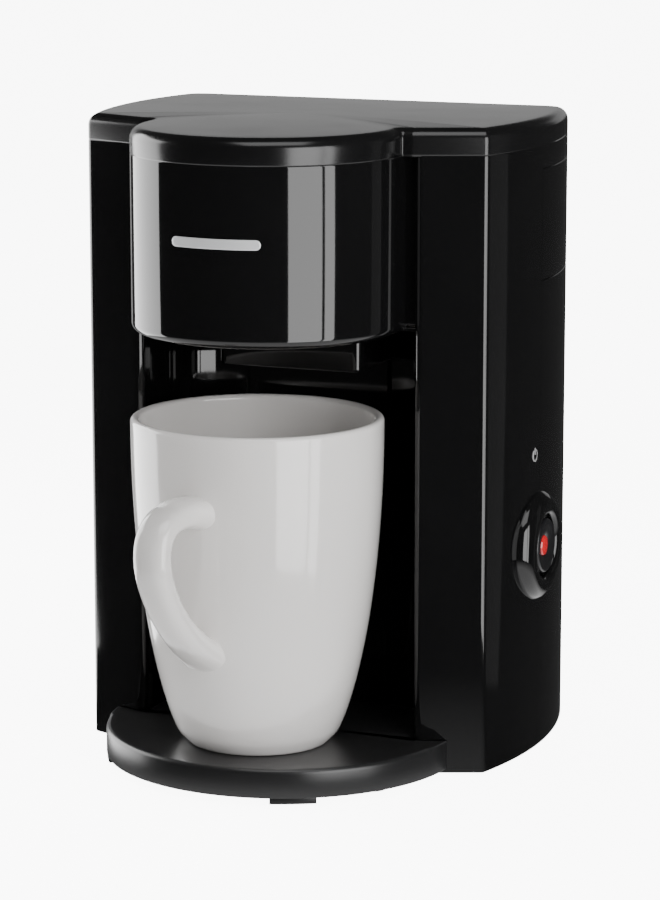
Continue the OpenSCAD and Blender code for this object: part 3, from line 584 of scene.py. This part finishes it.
def makeLid():
    s = lidShape
    right = roundLine(sideCorners + [(casing["headRadius"], casing["wingY"], 0.6),
                                     (casing["headRadius"], 0, 0)])
    right = right[:-1] + headFront
    line = right + mirrored(right)[1:-1]
    z0, z1 = lidLow.z, lidHigh.z - s["crown"]

    def edge(y):
        t = max(0, min(1, (y - 91) / 8))
        return s["rimRound"] + (s["rearRound"] - s["rimRound"]) * t * t * (3 - 2 * t)
    rounds = [edge(y) for x, y in line]
    centre = (0, 32)
    ceiling = z1 - s["ceiling"]
    rows = [(s["wall"] + 1.5, ceiling, k) for k in (0, 0.3, 0.6, 0.85, 1)]
    rows += [(s["wall"], ceiling - 2.4, 1), (s["wall"], z0 + 0.2, 1), (s["wall"] - 0.2, z0, 1),
             (1.1, z0, 1), (0.68, z0 + 0.09, 1), (0.32, z0 + 0.32, 1), (0.09, z0 + 0.68, 1),
             (0, z0 + 1.1, 1)]
    for a in range(0, 91, 10):
        t = math.radians(a)
        rows.append(([r * (1 - math.cos(t)) for r in rounds],
                     [z1 - r * (1 - math.sin(t)) for r in rounds], 1))
    for k in (0.94, 0.85, 0.75, 0.62, 0.48, 0.33, 0.18, 0):
        rows.append((rounds, z1 + s["crown"] * (1 - k * k), k))
    shell = stackRows("lid_top", line, rows, centre, sharp=40)
    knuckles = []
    for side in (-1, 1):
        a, b = (side * x for x in s["knuckleX"])
        spot = (0, s["pinY"], s["pinZ"])
        knuckles.append(revolve("knuckle", [
            (s["pinRadius"], a), (s["knuckleRadius"] - 0.4, a), (s["knuckleRadius"], a + side * 0.4),
            (s["knuckleRadius"], b - side * 0.4), (s["knuckleRadius"] - 0.4, b), (s["pinRadius"], b)],
            spot, "X", 48))
        low, high = sorted((a, b))
        web = [(low, s["pinY"] + 2.6), (high, s["pinY"] + 2.6), (high, s["pinY"] - 2.6),
               (low, s["pinY"] - 2.6)]
        knuckles.append(slab("web", web, s["pinZ"] + 3.2, ceiling + 0.6,
                             ((a + b) / 2, s["pinY"]), 0.2, 0.2))
    place(joinPieces("lid_shell", [shell] + knuckles), lidBlack, "lid", "gloss_black", "lid")


makeLid()
print("lid made")


# base
basePlate = {
    "radius": 58.5,
    "centreY": 12.6,
    "z0": 2.5,
    "top": 12.0,
    "edge": 1.6,
    "wall": 2.4,
    "footZ": 0.6,
    "footWidth": 15.0,
    "footTurns": (25, -65),
    "bayEdge": 0.5,      # finer rounding beside the wings
    "seamEdge": 0.3,     # and finer still along the bay's wall
}


def makeBase():
    b = basePlate
    r, cy = b["radius"], b["centreY"]
    x = r
    for k in range(8):  # where the plate's arc meets the wing's front
        y = casing["wingY"] + (x - casing["bayHalfWidth"]) * sweepBack
        x = math.sqrt(r * r - (y - cy) ** 2)
    half = casing["bayHalfWidth"]
    start = math.degrees(math.atan2(y - cy, x))
    right = roundLine([(0, bayBackY, 0), (half, bayBackY, casing["bayCorner"]),
                       (half, casing["wingY"], 0.4), (x - 0.3, y - 0.1, 0)])
    right = right[:-1] + arcPoints(0, cy, r, start - 0.5, -90, 1.5)
    line = insetLine(right + mirrored(right)[1:-1], 0.06, True)
    z0, z1 = b["z0"], b["top"]
    edges = [b["edge"] if py < casing["wingY"] + 3 and abs(px) < x - 1.5 else b["bayEdge"]
             for px, py in line]
    edges = [b["seamEdge"] if py > casing["wingY"] - 0.5 and abs(px) < half + 1.5 else e
             for e, (px, py) in zip(edges, line)]
    inside = z1 - b["wall"]
    rows = [(b["wall"], inside, k) for k in (0, 0.4, 0.8, 1)]
    rows += [(b["wall"], z0, 1), (0.5, z0, 1), (0.15, z0 + 0.15, 1), (0, z0 + 0.5, 1)]
    for a in range(0, 91, 10):
        t = math.radians(a)
        rows.append(([e * (1 - math.cos(t)) for e in edges],
                     [z1 - e * (1 - math.sin(t)) for e in edges], 1))
    for k in (0.96, 0.85, 0.7, 0.5, 0.3, 0):
        rows.append((edges, z1, k))
    plate = stackRows("plate", line, rows, (0, 8), sharp=35)
    tabs = []
    for turn in b["footTurns"]:
        spread = math.degrees(b["footWidth"] / 2 / r)
        arc = arcPoints(0, cy, r - 0.3, turn - 90 + spread, turn - 90 - spread, 1.5)
        tabs.append(sweepWall("tab", arc, roundedSection(b["footZ"], z0 + 0.8, 3.6, 0.5, 0.2)))
    place(joinPieces("cup_base", [plate] + tabs), baseBlack, "body", "gloss_black", "base_plate")


baseBlack = finish("moulded_black_base", (0.010, 0.010, 0.0105), (0.013, 0.013, 0.0135), 0.30,
                   variation=0.05, waveSize=25, grain=0.15, bump=0.04, dust=0.02)
makeBase()
print("base made")


# mug
mugShape = {
    "rimRadius": 40.5,
    "footRadius": 23.5,
    "height": 106.0,
    "wall": 3.0,
    "floor": 5.0,
    "footRing": 3.5,
    "footDepth": 2.2,
    "y": -9.0,
    "handleTurn": 8.0,
    "handleReach": 63.0,
    "handleWidth": 12.5,
    "handleThick": 8.5,
}


def mugRadius(t):
    s = mugShape
    return s["footRadius"] + (s["rimRadius"] - s["footRadius"]) * math.sin(math.pi / 2 * t ** 0.68)


def makeMug():
    s = mugShape
    z0, high, wall = basePlate["top"], s["height"], s["wall"]
    out = [(mugRadius(t) - 0.03, z0 + high * t) for t in [i / 60 for i in range(1, 60)]]
    rim = [(s["rimRadius"] - wall / 2 + wall / 2 * math.cos(math.radians(a)) - 0.03,
            z0 + high - wall / 2 + wall / 2 * math.sin(math.radians(a))) for a in range(0, 181, 15)]
    out = [p for p in out if p[1] < z0 + high - wall / 2 - 0.6]
    inner = [(mugRadius(t) - wall, z0 + high * t) for t in [i / 60 for i in range(56, 4, -1)]]
    inner = [p for p in inner if p[1] > z0 + s["floor"] + 4]
    bottom = inner[-1][0]
    dish = [(bottom - 4 + 4 * math.cos(math.radians(a)), z0 + s["floor"] + 4 - 4 * math.sin(math.radians(a)))
            for a in (20, 40, 60, 80, 90)]
    foot = s["footRadius"]
    ring = [(foot - s["footRing"], z0 + s["footDepth"]), (foot - s["footRing"], z0 + 0.5),
            (foot - s["footRing"] + 0.5, z0), (foot - 1.2, z0), (foot - 0.3, z0 + 0.3), (foot + 0.2, z0 + 1)]
    profile = [(0, z0 + s["footDepth"])] + ring + out[1:] + rim + inner + dish + [(0, z0 + s["floor"])]
    cup = revolve("cup", profile, (0, s["y"], 0), "Z", 160, sharp=60)

    topZ, lowZ = z0 + 0.765 * high, z0 + 0.33 * high
    path = [(s["rimRadius"] - wall - 0.5, topZ), (s["handleReach"] + 15, topZ + 10),
            (s["handleReach"] + 3, topZ - 28), (mugRadius(0.33) - wall / 2, lowZ)]

    def at(t):
        w = ((1 - t) ** 3, 3 * t * (1 - t) ** 2, 3 * t * t * (1 - t), t ** 3)
        return sum(k * p[0] for k, p in zip(w, path)), sum(k * p[1] for k, p in zip(w, path))
    steps, sides = 64, 28
    turn = math.radians(-90 - s["handleTurn"])
    verts, faces = [], []
    for i in range(steps + 1):
        t = i / steps
        px, pz = at(t)
        ax, az = at(max(t - 0.01, 0))
        bx, bz = at(min(t + 0.01, 1))
        dx, dz = unit(bx - ax, bz - az)
        grow = 1 + 0.35 * abs(2 * t - 1) ** 4
        for k in range(sides):
            b = 2 * math.pi * k / sides
            c, d = math.cos(b), math.sin(b)
            # a section between an ellipse and a rounded strap
            c = math.copysign(abs(c) ** 0.85, c)
            d = math.copysign(abs(d) ** 0.85, d)
            o, w = s["handleThick"] / 2 * grow * d * 0.95, s["handleWidth"] / 2 * grow * c * 0.97
            x, y, z = px - dz * o, w, pz + dx * o
            verts.append((x * math.cos(turn) - y * math.sin(turn),
                          x * math.sin(turn) + y * math.cos(turn) + s["y"], z))
    for i in range(steps):
        for k in range(sides):
            n = (k + 1) % sides
            faces.append((i * sides + k, (i + 1) * sides + k, (i + 1) * sides + n, i * sides + n))
    faces += [tuple(range(sides)), tuple(steps * sides + k for k in range(sides))]
    handle = makePiece("handle", verts, faces, 60)
    place(joinPieces("mug_glazed", [cup, handle]), glaze, "mug", "white_ceramic", "mug")


makeMug()
print("mug made")


# power switch
switch = {
    "bezelRadius": 18.0,
    "holeRadius": 10.3,
    "neckRadius": 13.5,
    "buttonRadius": 9.0,
    "lensRadius": 3.3,
    "bezelProud": 5.4,
    "bezelDepth": 14.0,
    "buttonSunk": 0.45,
    "wallProud": 1.8,    # the casing's side over the seat of the bezel
    "markZ": 100.2,
    "markAside": 4.2,
    "markRadius": 1.9,
    "markHalfStroke": 0.19,
    "markSunk": 0.3,
    "markProud": 0.09,
    "markSteps": 40,
}


def makeSwitch():
    s = switch
    low, high = (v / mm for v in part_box("switch_bezel"))
    face = s["bezelProud"]
    x0 = high.x - face
    spot = (x0, (low.y + high.y) / 2, (low.z + high.z) / 2)
    hole, rim = s["holeRadius"], s["bezelRadius"]
    bezel = revolve("switch_ring", [
        (hole, -s["bezelDepth"]), (s["neckRadius"], -s["bezelDepth"]), (s["neckRadius"], 0), (rim, 0),
        (rim, 1.8), (rim - 0.3, 2.6), (rim - 1.2, 3.9), (rim - 2.4, 4.8), (rim - 3.4, face - 0.1),
        (rim - 4.2, face), (hole + 1.8, face), (hole + 0.9, face - 0.25), (hole + 0.25, face - 0.9),
        (hole, face - 1.6)], spot, "X", 128)
    place(bezel, glossBlack, "body", "gloss_black", "switch_bezel")
    top = face - s["buttonSunk"]
    r, lensR = s["buttonRadius"], s["lensRadius"]
    button = revolve("push_button", [
        (6, top - 10.9), (r - 0.2, top - 10.9), (r, top - 10.6), (r, top - 1.0), (r - 0.12, top - 0.55),
        (r - 0.45, top - 0.2), (r - 0.9, top - 0.05), (r - 2.2, top - 0.25), (lensR + 1.6, top - 0.75),
        (lensR + 0.5, top - 0.95), (lensR + 0.1, top - 1.3), (lensR + 0.1, top - 2.5),
        (6, top - 5.9)], spot, "X", 96)
    place(button, buttonBlack, "button", "button_black", "power_button")
    lens = revolve("lamp_window", [
        (0, top - 2.4), (lensR, top - 2.4), (lensR, top - 1.2), (lensR - 0.3, top - 0.75),
        (2, top - 0.5), (1, top - 0.4), (0, top - 0.37)], spot, "X", 64)
    place(lens, redLens, "button", "lens_red", "lamp_lens")

    # the on mark over the switch: an open ring with an upright stroke
    wallX = x0 + s["wallProud"]
    markY, markZ = spot[1] - s["markAside"], s["markZ"]
    thin, steps = s["markHalfStroke"], s["markSteps"]
    inX, outX = wallX - s["markSunk"], wallX + s["markProud"]
    inR, outR = s["markRadius"] - thin, s["markRadius"] + thin
    verts, faces = [], []
    for i in range(steps + 1):
        t = math.radians(120 + 300 * i / steps)
        for r, x in ((inR, inX), (inR, outX), (outR, outX), (outR, inX)):
            verts.append((x, markY + r * math.cos(t), markZ + r * math.sin(t)))
    for i in range(steps):
        for k in range(4):
            n = (k + 1) % 4
            faces.append((i * 4 + k, (i + 1) * 4 + k, (i + 1) * 4 + n, i * 4 + n))
    faces += [(0, 1, 2, 3), tuple(steps * 4 + k for k in range(4))]
    openRing = makePiece("mark_ring", verts, faces)
    stroke = [(inX, markY + thin), (outX, markY + thin), (outX, markY - thin), (inX, markY - thin)]
    bar = slab("mark_bar", stroke, markZ + 0.2, markZ + 2.5, (wallX - 0.1, markY), 0.05, 0.05)
    place(joinPieces("power_mark", [openRing, bar]), markGrey, "body", "badge_silver")


makeSwitch()
print("switch made")


# filter and screws, made by geometry nodes
def newTree(name, inputs):
    tree = bpy.data.node_groups.new(name, "GeometryNodeTree")
    tree.interface.new_socket("Geometry", in_out="INPUT", socket_type="NodeSocketGeometry")
    tree.interface.new_socket("Geometry", in_out="OUTPUT", socket_type="NodeSocketGeometry")
    for label, kind, value in inputs:
        tree.interface.new_socket(label, in_out="INPUT", socket_type=kind).default_value = value
    return tree, tree.nodes.new("NodeGroupInput"), tree.nodes.new("NodeGroupOutput")


def bakeTree(name, source, tree, values):
    modifier = source.modifiers.new("shape", "NODES")
    modifier.node_group = tree
    for item in tree.interface.items_tree:
        if item.in_out == "INPUT" and item.name in values:
            modifier[item.identifier] = values[item.name]
    bpy.context.view_layer.update()
    graph = bpy.context.evaluated_depsgraph_get()
    mesh = bpy.data.meshes.new_from_object(source.evaluated_get(graph))
    source.modifiers.clear()
    bpy.data.objects.remove(source)
    mesh.name = name
    return finishPiece(name, mesh, 40)


def vector(tree, x=0.0, y=0.0, z=0.0):
    return addNode(tree, "ShaderNodeCombineXYZ", {"X": x, "Y": y, "Z": z}).outputs[0]


def shifted(tree, geometry, **ways):
    return addNode(tree, "GeometryNodeTransform", {"Geometry": geometry, **ways}).outputs[0]


def finishTree(tree, out, geometry, material):
    real = addNode(tree, "GeometryNodeRealizeInstances", {"Geometry": geometry})
    dressed = addNode(tree, "GeometryNodeSetMaterial",
                      {"Geometry": real.outputs[0], "Material": material})
    tree.links.new(dressed.outputs[0], out.inputs["Geometry"])


def pointsObject(name, points):
    mesh = bpy.data.meshes.new(name)
    mesh.from_pydata([tuple(c * mm for c in p) for p in points], [], [])
    return newObject(name, mesh)


screwShape = {"headRadius": 3.0, "headHeight": 0.5, "slotLength": 3.2, "slotWidth": 0.7,
              "slotDepth": 0.35, "shankRadius": 1.5, "shankLength": 9.0}


def makeScrews():
    s = screwShape
    low, high = (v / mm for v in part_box("cover_screws"))
    r = s["headRadius"]
    # the two front screws stand wider than the two rear ones
    points = [v.co / mm for v in nodes["cover_screws"].data.vertices]
    middle = (low.y + high.y) / 2
    frontX = max(p.x for p in points if p.y < middle) - r
    rearX = max(p.x for p in points if p.y > middle) - r
    spots = [(side * x, y, low.z) for side in (-1, 1)
             for x, y in ((frontX, low.y + r), (rearX, high.y - r))]
    names = {"headRadius": "Head Radius", "headHeight": "Head Height", "slotLength": "Slot Length",
             "slotWidth": "Slot Width", "slotDepth": "Slot Depth", "shankRadius": "Shank Radius",
             "shankLength": "Shank Length"}
    values = {label: s[key] * mm for key, label in names.items()}
    tree, given, out = newTree("crossHeadScrews", [(label, "NodeSocketFloat", value)
                                                   for label, value in values.items()])
    need = given.outputs
    head = addNode(tree, "GeometryNodeMeshCylinder",
                   {"Vertices": 48, "Radius": need["Head Radius"], "Depth": need["Head Height"]})
    depth = mathNode(tree, "MULTIPLY", need["Slot Depth"], 2.0)
    drop = vector(tree, z=mathNode(tree, "MULTIPLY", need["Head Height"], -0.5))
    cut = addNode(tree, "GeometryNodeMeshBoolean", operation="DIFFERENCE", solver="EXACT")
    tree.links.new(head.outputs["Mesh"], cut.inputs["Mesh 1"])
    for a, b in (("Slot Length", "Slot Width"), ("Slot Width", "Slot Length")):
        cube = addNode(tree, "GeometryNodeMeshCube", {"Size": vector(tree, need[a], need[b], depth)})
        tree.links.new(shifted(tree, cube.outputs["Mesh"], Translation=drop), cut.inputs["Mesh 2"])
    shank = addNode(tree, "GeometryNodeMeshCylinder",
                    {"Vertices": 24, "Radius": need["Shank Radius"], "Depth": need["Shank Length"]})
    up = vector(tree, z=mathNode(tree, "MULTIPLY", need["Shank Length"], 0.5))
    whole = addNode(tree, "GeometryNodeJoinGeometry")
    tree.links.new(cut.outputs["Mesh"], whole.inputs[0])
    tree.links.new(shifted(tree, shank.outputs["Mesh"], Translation=up), whole.inputs[0])
    setIn = vector(tree, z=mathNode(tree, "MULTIPLY", need["Head Height"], 0.5))
    seated = shifted(tree, whole.outputs[0], Translation=setIn)
    placed = addNode(tree, "GeometryNodeInstanceOnPoints",
                     {"Points": need["Geometry"], "Instance": seated})
    finishTree(tree, out, placed.outputs[0], platedSteel)
    screws = bakeTree("screws", pointsObject("screw_spots", spots), tree, values)
    place(screws, platedSteel, "body", "steel", "cover_screws")


meshFilter = {"lowRadius": 25.6, "uprights": 72, "hoops": 16, "thread": 0.36, "rim": 1.0,
              "rimWall": 2.2, "floorLift": 0.6}


def makeFilter():
    # the mesh cup: a closed rim and floor ring, with fine uprights and hoops between
    s = meshFilter
    low, high = (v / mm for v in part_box("filter_mesh"))
    top, bottom = high.x - s["rim"] / 2, s["lowRadius"]
    height = high.z - low.z
    lean = math.atan2(top - bottom, height)
    tree, given, out = newTree("wovenCup", [
        ("Top Radius", "NodeSocketFloat", 0.03), ("Low Radius", "NodeSocketFloat", 0.025),
        ("Height", "NodeSocketFloat", 0.04), ("Uprights", "NodeSocketInt", 60),
        ("Hoops", "NodeSocketInt", 12), ("Thread", "NodeSocketFloat", 0.0004),
        ("Lean", "NodeSocketFloat", 0.1)])
    need = given.outputs
    spine = addNode(tree, "GeometryNodeMeshCircle",
                    {"Vertices": need["Uprights"], "Radius": need["Low Radius"]})
    length = mathNode(tree, "DIVIDE", need["Height"], mathNode(tree, "COSINE", need["Lean"]))
    bar = addNode(tree, "GeometryNodeMeshCube",
                  {"Size": vector(tree, need["Thread"], need["Thread"], length)})
    rise = vector(tree, z=mathNode(tree, "MULTIPLY", length, 0.5))
    stood = shifted(tree, bar.outputs["Mesh"], Translation=rise)
    tipped = shifted(tree, stood, Rotation=vector(tree, y=need["Lean"]))
    index = addNode(tree, "GeometryNodeInputIndex").outputs[0]
    around = mathNode(tree, "DIVIDE", mathNode(tree, "MULTIPLY", index, 2 * math.pi), need["Uprights"])
    uprights = addNode(tree, "GeometryNodeInstanceOnPoints",
                       {"Points": spine.outputs[0], "Instance": tipped,
                        "Rotation": vector(tree, z=around)})
    levels = addNode(tree, "GeometryNodeMeshLine", {"Count": need["Hoops"]})
    step = mathNode(tree, "DIVIDE", need["Height"], need["Hoops"])
    tree.links.new(vector(tree, z=step), levels.inputs["Offset"])
    ringLine = addNode(tree, "GeometryNodeCurvePrimitiveCircle",
                       {"Resolution": 72, "Radius": need["Low Radius"]})
    wire = addNode(tree, "GeometryNodeCurvePrimitiveCircle",
                   {"Resolution": 6, "Radius": mathNode(tree, "MULTIPLY", need["Thread"], 0.6)})
    hoop = addNode(tree, "GeometryNodeCurveToMesh",
                   {"Curve": ringLine.outputs[0], "Profile Curve": wire.outputs[0]})
    portion = mathNode(tree, "DIVIDE", addNode(tree, "GeometryNodeInputIndex").outputs[0],
                       need["Hoops"])
    wider = mathNode(tree, "SUBTRACT",
                     mathNode(tree, "DIVIDE", need["Top Radius"], need["Low Radius"]), 1.0)
    grow = mathNode(tree, "MULTIPLY_ADD", portion, wider, 1.0)
    hoops = addNode(tree, "GeometryNodeInstanceOnPoints",
                    {"Points": levels.outputs[0], "Instance": hoop.outputs[0],
                     "Scale": vector(tree, grow, grow, 1.0)})
    both = addNode(tree, "GeometryNodeJoinGeometry")
    tree.links.new(uprights.outputs[0], both.inputs[0])
    tree.links.new(hoops.outputs[0], both.inputs[0])
    finishTree(tree, out, both.outputs[0], nylonMesh)
    lift = s["floorLift"]
    values = {"Top Radius": top * mm, "Low Radius": bottom * mm, "Height": (height - 2 * lift) * mm,
              "Uprights": s["uprights"], "Hoops": s["hoops"], "Thread": s["thread"] * mm, "Lean": lean}
    weave = bakeTree("weave", pointsObject("weave_at", [(0, 0, 0)]), tree, values)
    weave.data.transform(Matrix.Translation((0, 0, (low.z + lift) * mm)))
    r, z, wall = high.x, high.z, s["rimWall"]
    rim = revolve("rim", [(r - wall, z - 1.6), (r - 0.2, z - 1.6), (r, z - 1.4), (r, z - 0.2),
                          (r - 0.2, z), (r - 2.0, z), (r - wall, z - 0.2)], (0, 0, 0))
    floor = revolve("floor", [(0, low.z), (bottom + 0.2, low.z), (bottom + 0.4, low.z + 0.2),
                              (bottom + 0.4, low.z + 1.0), (0, low.z + 0.8)], (0, 0, 0))
    place(joinPieces("mesh_cup", [weave, rim, floor]), nylonMesh, "basket", "mesh", "filter_mesh")


makeScrews()
makeFilter()
print("screws and filter made")


# badge bar
badgeBar = {"width": 30.0, "height": 3.2, "thick": 0.45, "round": 0.62, "faceDrop": 0.12,
            "sunk": 0.1}


def makeBadge():
    # a plain capsule bent round the brew head
    b = badgeBar
    low, high = (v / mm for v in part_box("badge"))
    r, z = casing["headRadius"], (low.z + high.z) / 2
    cap = b["height"] / 2
    end = b["width"] / 2
    thick, faceOut = b["thick"], b["thick"] - b["faceDrop"]
    flat = roundLine([(0, cap, 0), (end, cap, cap - 0.02), (end, -cap, cap - 0.02), (0, -cap, 0)])
    outline = fineLine(flat + mirrored(flat)[1:-1], 0.8)
    rings = [(0.0, -b["sunk"]), (0.0, thick - 0.2), (0.08, thick - 0.07), (0.25, thick),
             (0.55, thick), (b["round"], faceOut)]
    n = len(outline)
    verts, faces = [], []

    def onHead(a, proud, height):
        verts.append((math.sin(a) * (r + proud), -math.cos(a) * (r + proud), height))

    def joinRings(first, second):
        for k in range(n):
            m = (k + 1) % n
            faces.append((first + k, first + m, second + m, second + k))

    for inset, proud in rings:
        for x, y in insetLine(outline, inset, True):
            onHead(x / r, proud, z + y)
    for i in range(len(rings) - 1):
        joinRings(i * n, (i + 1) * n)
    # face and back, each closed down to a line along the middle
    for ring, (inset, proud) in ((len(rings) - 1, (b["round"], faceOut)), (0, (0.0, -b["sunk"]))):
        spine = len(verts)
        for x, y in insetLine(outline, inset, True):
            onHead(max(-1, min(1, x / (end - cap))) * (end - cap) / r, proud, z)
        joinRings(ring * n, spine)
    place(makePiece("name_bar", verts, faces), silverBar, "body", "badge_silver", "badge")


makeBadge()
print("badge bar made")


# finishes on the pieces that keep their shape
kept = {
    "top_deck": satinBlack, "bottom_cover": satinBlack, "rubber_feet": rubberBlack,
    "water_tank": tankBlack, "brew_chamber": satinBlack, "water_tube": drawnAluminium,
    "heating_rod": platedSteel, "heater_clamp": platedSteel, "thermostat": platedSteel,
    "thermal_fuse": milkySilicone, "inlet_hose": milkySilicone, "riser_hose": milkySilicone,
    "hose_clips": platedSteel, "check_valve": valveWhite, "spray_nozzle": satinBlack,
    "switch_body": satinBlack, "switch_wires": wireRed, "terminal_block": terminalIvory,
    "cord_gland": rubberBlack, "hinge_pins": platedSteel, "button_spring": platedSteel,
    "lid_liner": satinBlack, "filter_basket": satinBlack,
}
for name, material in kept.items():
    data = nodes[name].data
    if not data.materials:
        data.materials.append(material)
    for i in range(len(data.materials)):
        data.materials[i] = material
print("finishes placed")


# floor, backdrop and lights
studio = {
    "floorSize": 6.0,
    "floorColour": (0.93, 0.93, 0.93),
    "floorGlow": 8.7,
    "backdrop": 10.0,    # what the camera sees past the floor
    "fill": 0.09,        # soft light from all round
    "reflected": 0.045,  # the dark studio that gloss reflects
    "table": 1.6,        # the pale table that downward edges reflect
    "tableFrom": -0.38,  # slope of a reflected ray where the table sets in
    "tableFull": -0.6,
    "cardFoot": -0.14,   # lower edge of the cards close by
}


def makeFloor():
    s = studio["floorSize"]
    mesh = bpy.data.meshes.new("floor")
    mesh.from_pydata([(-s, -s, 0), (s, -s, 0), (s, s, 0), (-s, s, 0)], [], [(0, 1, 2, 3)])
    floor = newObject("floor", mesh)
    material = bpy.data.materials.new("pale_floor")
    material.use_nodes = True
    tree = material.node_tree
    shader = tree.nodes["Principled BSDF"]
    shader.inputs["Base Color"].default_value = (*studio["floorColour"], 1)
    shader.inputs["Roughness"].default_value = 0.9
    shader.inputs["Specular IOR Level"].default_value = 0.1
    rays = addNode(tree, "ShaderNodeLightPath")
    glow = mathNode(tree, "MULTIPLY", rays.outputs["Is Camera Ray"], studio["floorGlow"])
    shader.inputs["Emission Color"].default_value = (1, 1, 1, 1)
    tree.links.new(glow, shader.inputs["Emission Strength"])
    # gloss looks through it to the cards, so their reflections run down to the feet
    floor.visible_glossy = False
    mesh.materials.append(material)


def makeWorld():
    world = bpy.data.worlds.new("studio")
    bpy.context.scene.world = world
    world.use_nodes = True
    tree = world.node_tree
    background = tree.nodes["Background"]
    rays = addNode(tree, "ShaderNodeLightPath")
    seen = mathNode(tree, "MULTIPLY", rays.outputs["Is Camera Ray"], studio["backdrop"])
    filled = mathNode(tree, "MULTIPLY_ADD", rays.outputs["Is Diffuse Ray"], studio["fill"], seen)
    way = addNode(tree, "ShaderNodeTexCoord")
    parts = addNode(tree, "ShaderNodeSeparateXYZ", {"Vector": way.outputs["Generated"]})
    table = addNode(tree, "ShaderNodeMapRange",
                    {"Value": parts.outputs["Z"], "From Min": studio["tableFrom"],
                     "From Max": studio["tableFull"], "To Min": studio["reflected"],
                     "To Max": studio["table"]})
    strength = mathNode(tree, "MULTIPLY_ADD", rays.outputs["Is Glossy Ray"], table.outputs[0], filled)
    background.inputs["Color"].default_value = (1, 1, 1, 1)
    tree.links.new(strength, background.inputs["Strength"])


def addCard(name, azimuth, far, size, brightness, height=0.0, tilt=0.0):
    # an upright light card; azimuth runs round the upright axis from +X, height is its lower edge
    wide, tall = size
    data = bpy.data.lights.new(name, "AREA")
    data.shape = "RECTANGLE"
    data.size, data.size_y = size
    data.energy = brightness * math.pi * wide * tall
    light = newObject(name, data)
    a = math.radians(azimuth)
    light.location = (far * math.cos(a), far * math.sin(a), height + tall / 2)
    light.rotation_euler = (math.radians(90 - tilt), 0, a + math.pi / 2)
    light.visible_camera = False


makeFloor()
makeWorld()
addCard("left_card", 170, 0.50, (0.44, 0.58), 6.5, height=studio["cardFoot"])
addCard("front_card", -37.2, 0.55, (0.275, 0.58), 6.8, height=studio["cardFoot"])
addCard("front_sliver", -16.6, 0.55, (0.084, 0.58), 6.8, height=studio["cardFoot"])
addCard("side_card", 36, 1.0, (0.3, 0.9), 0.12, height=-0.3)
addCard("back_card", 112, 1.6, (2.2, 0.42), 0.5, height=0.2, tilt=5)
addCard("top_card", -60, 0.5, (0.9, 0.7), 3.0, height=0.9, tilt=60)
print("studio made")
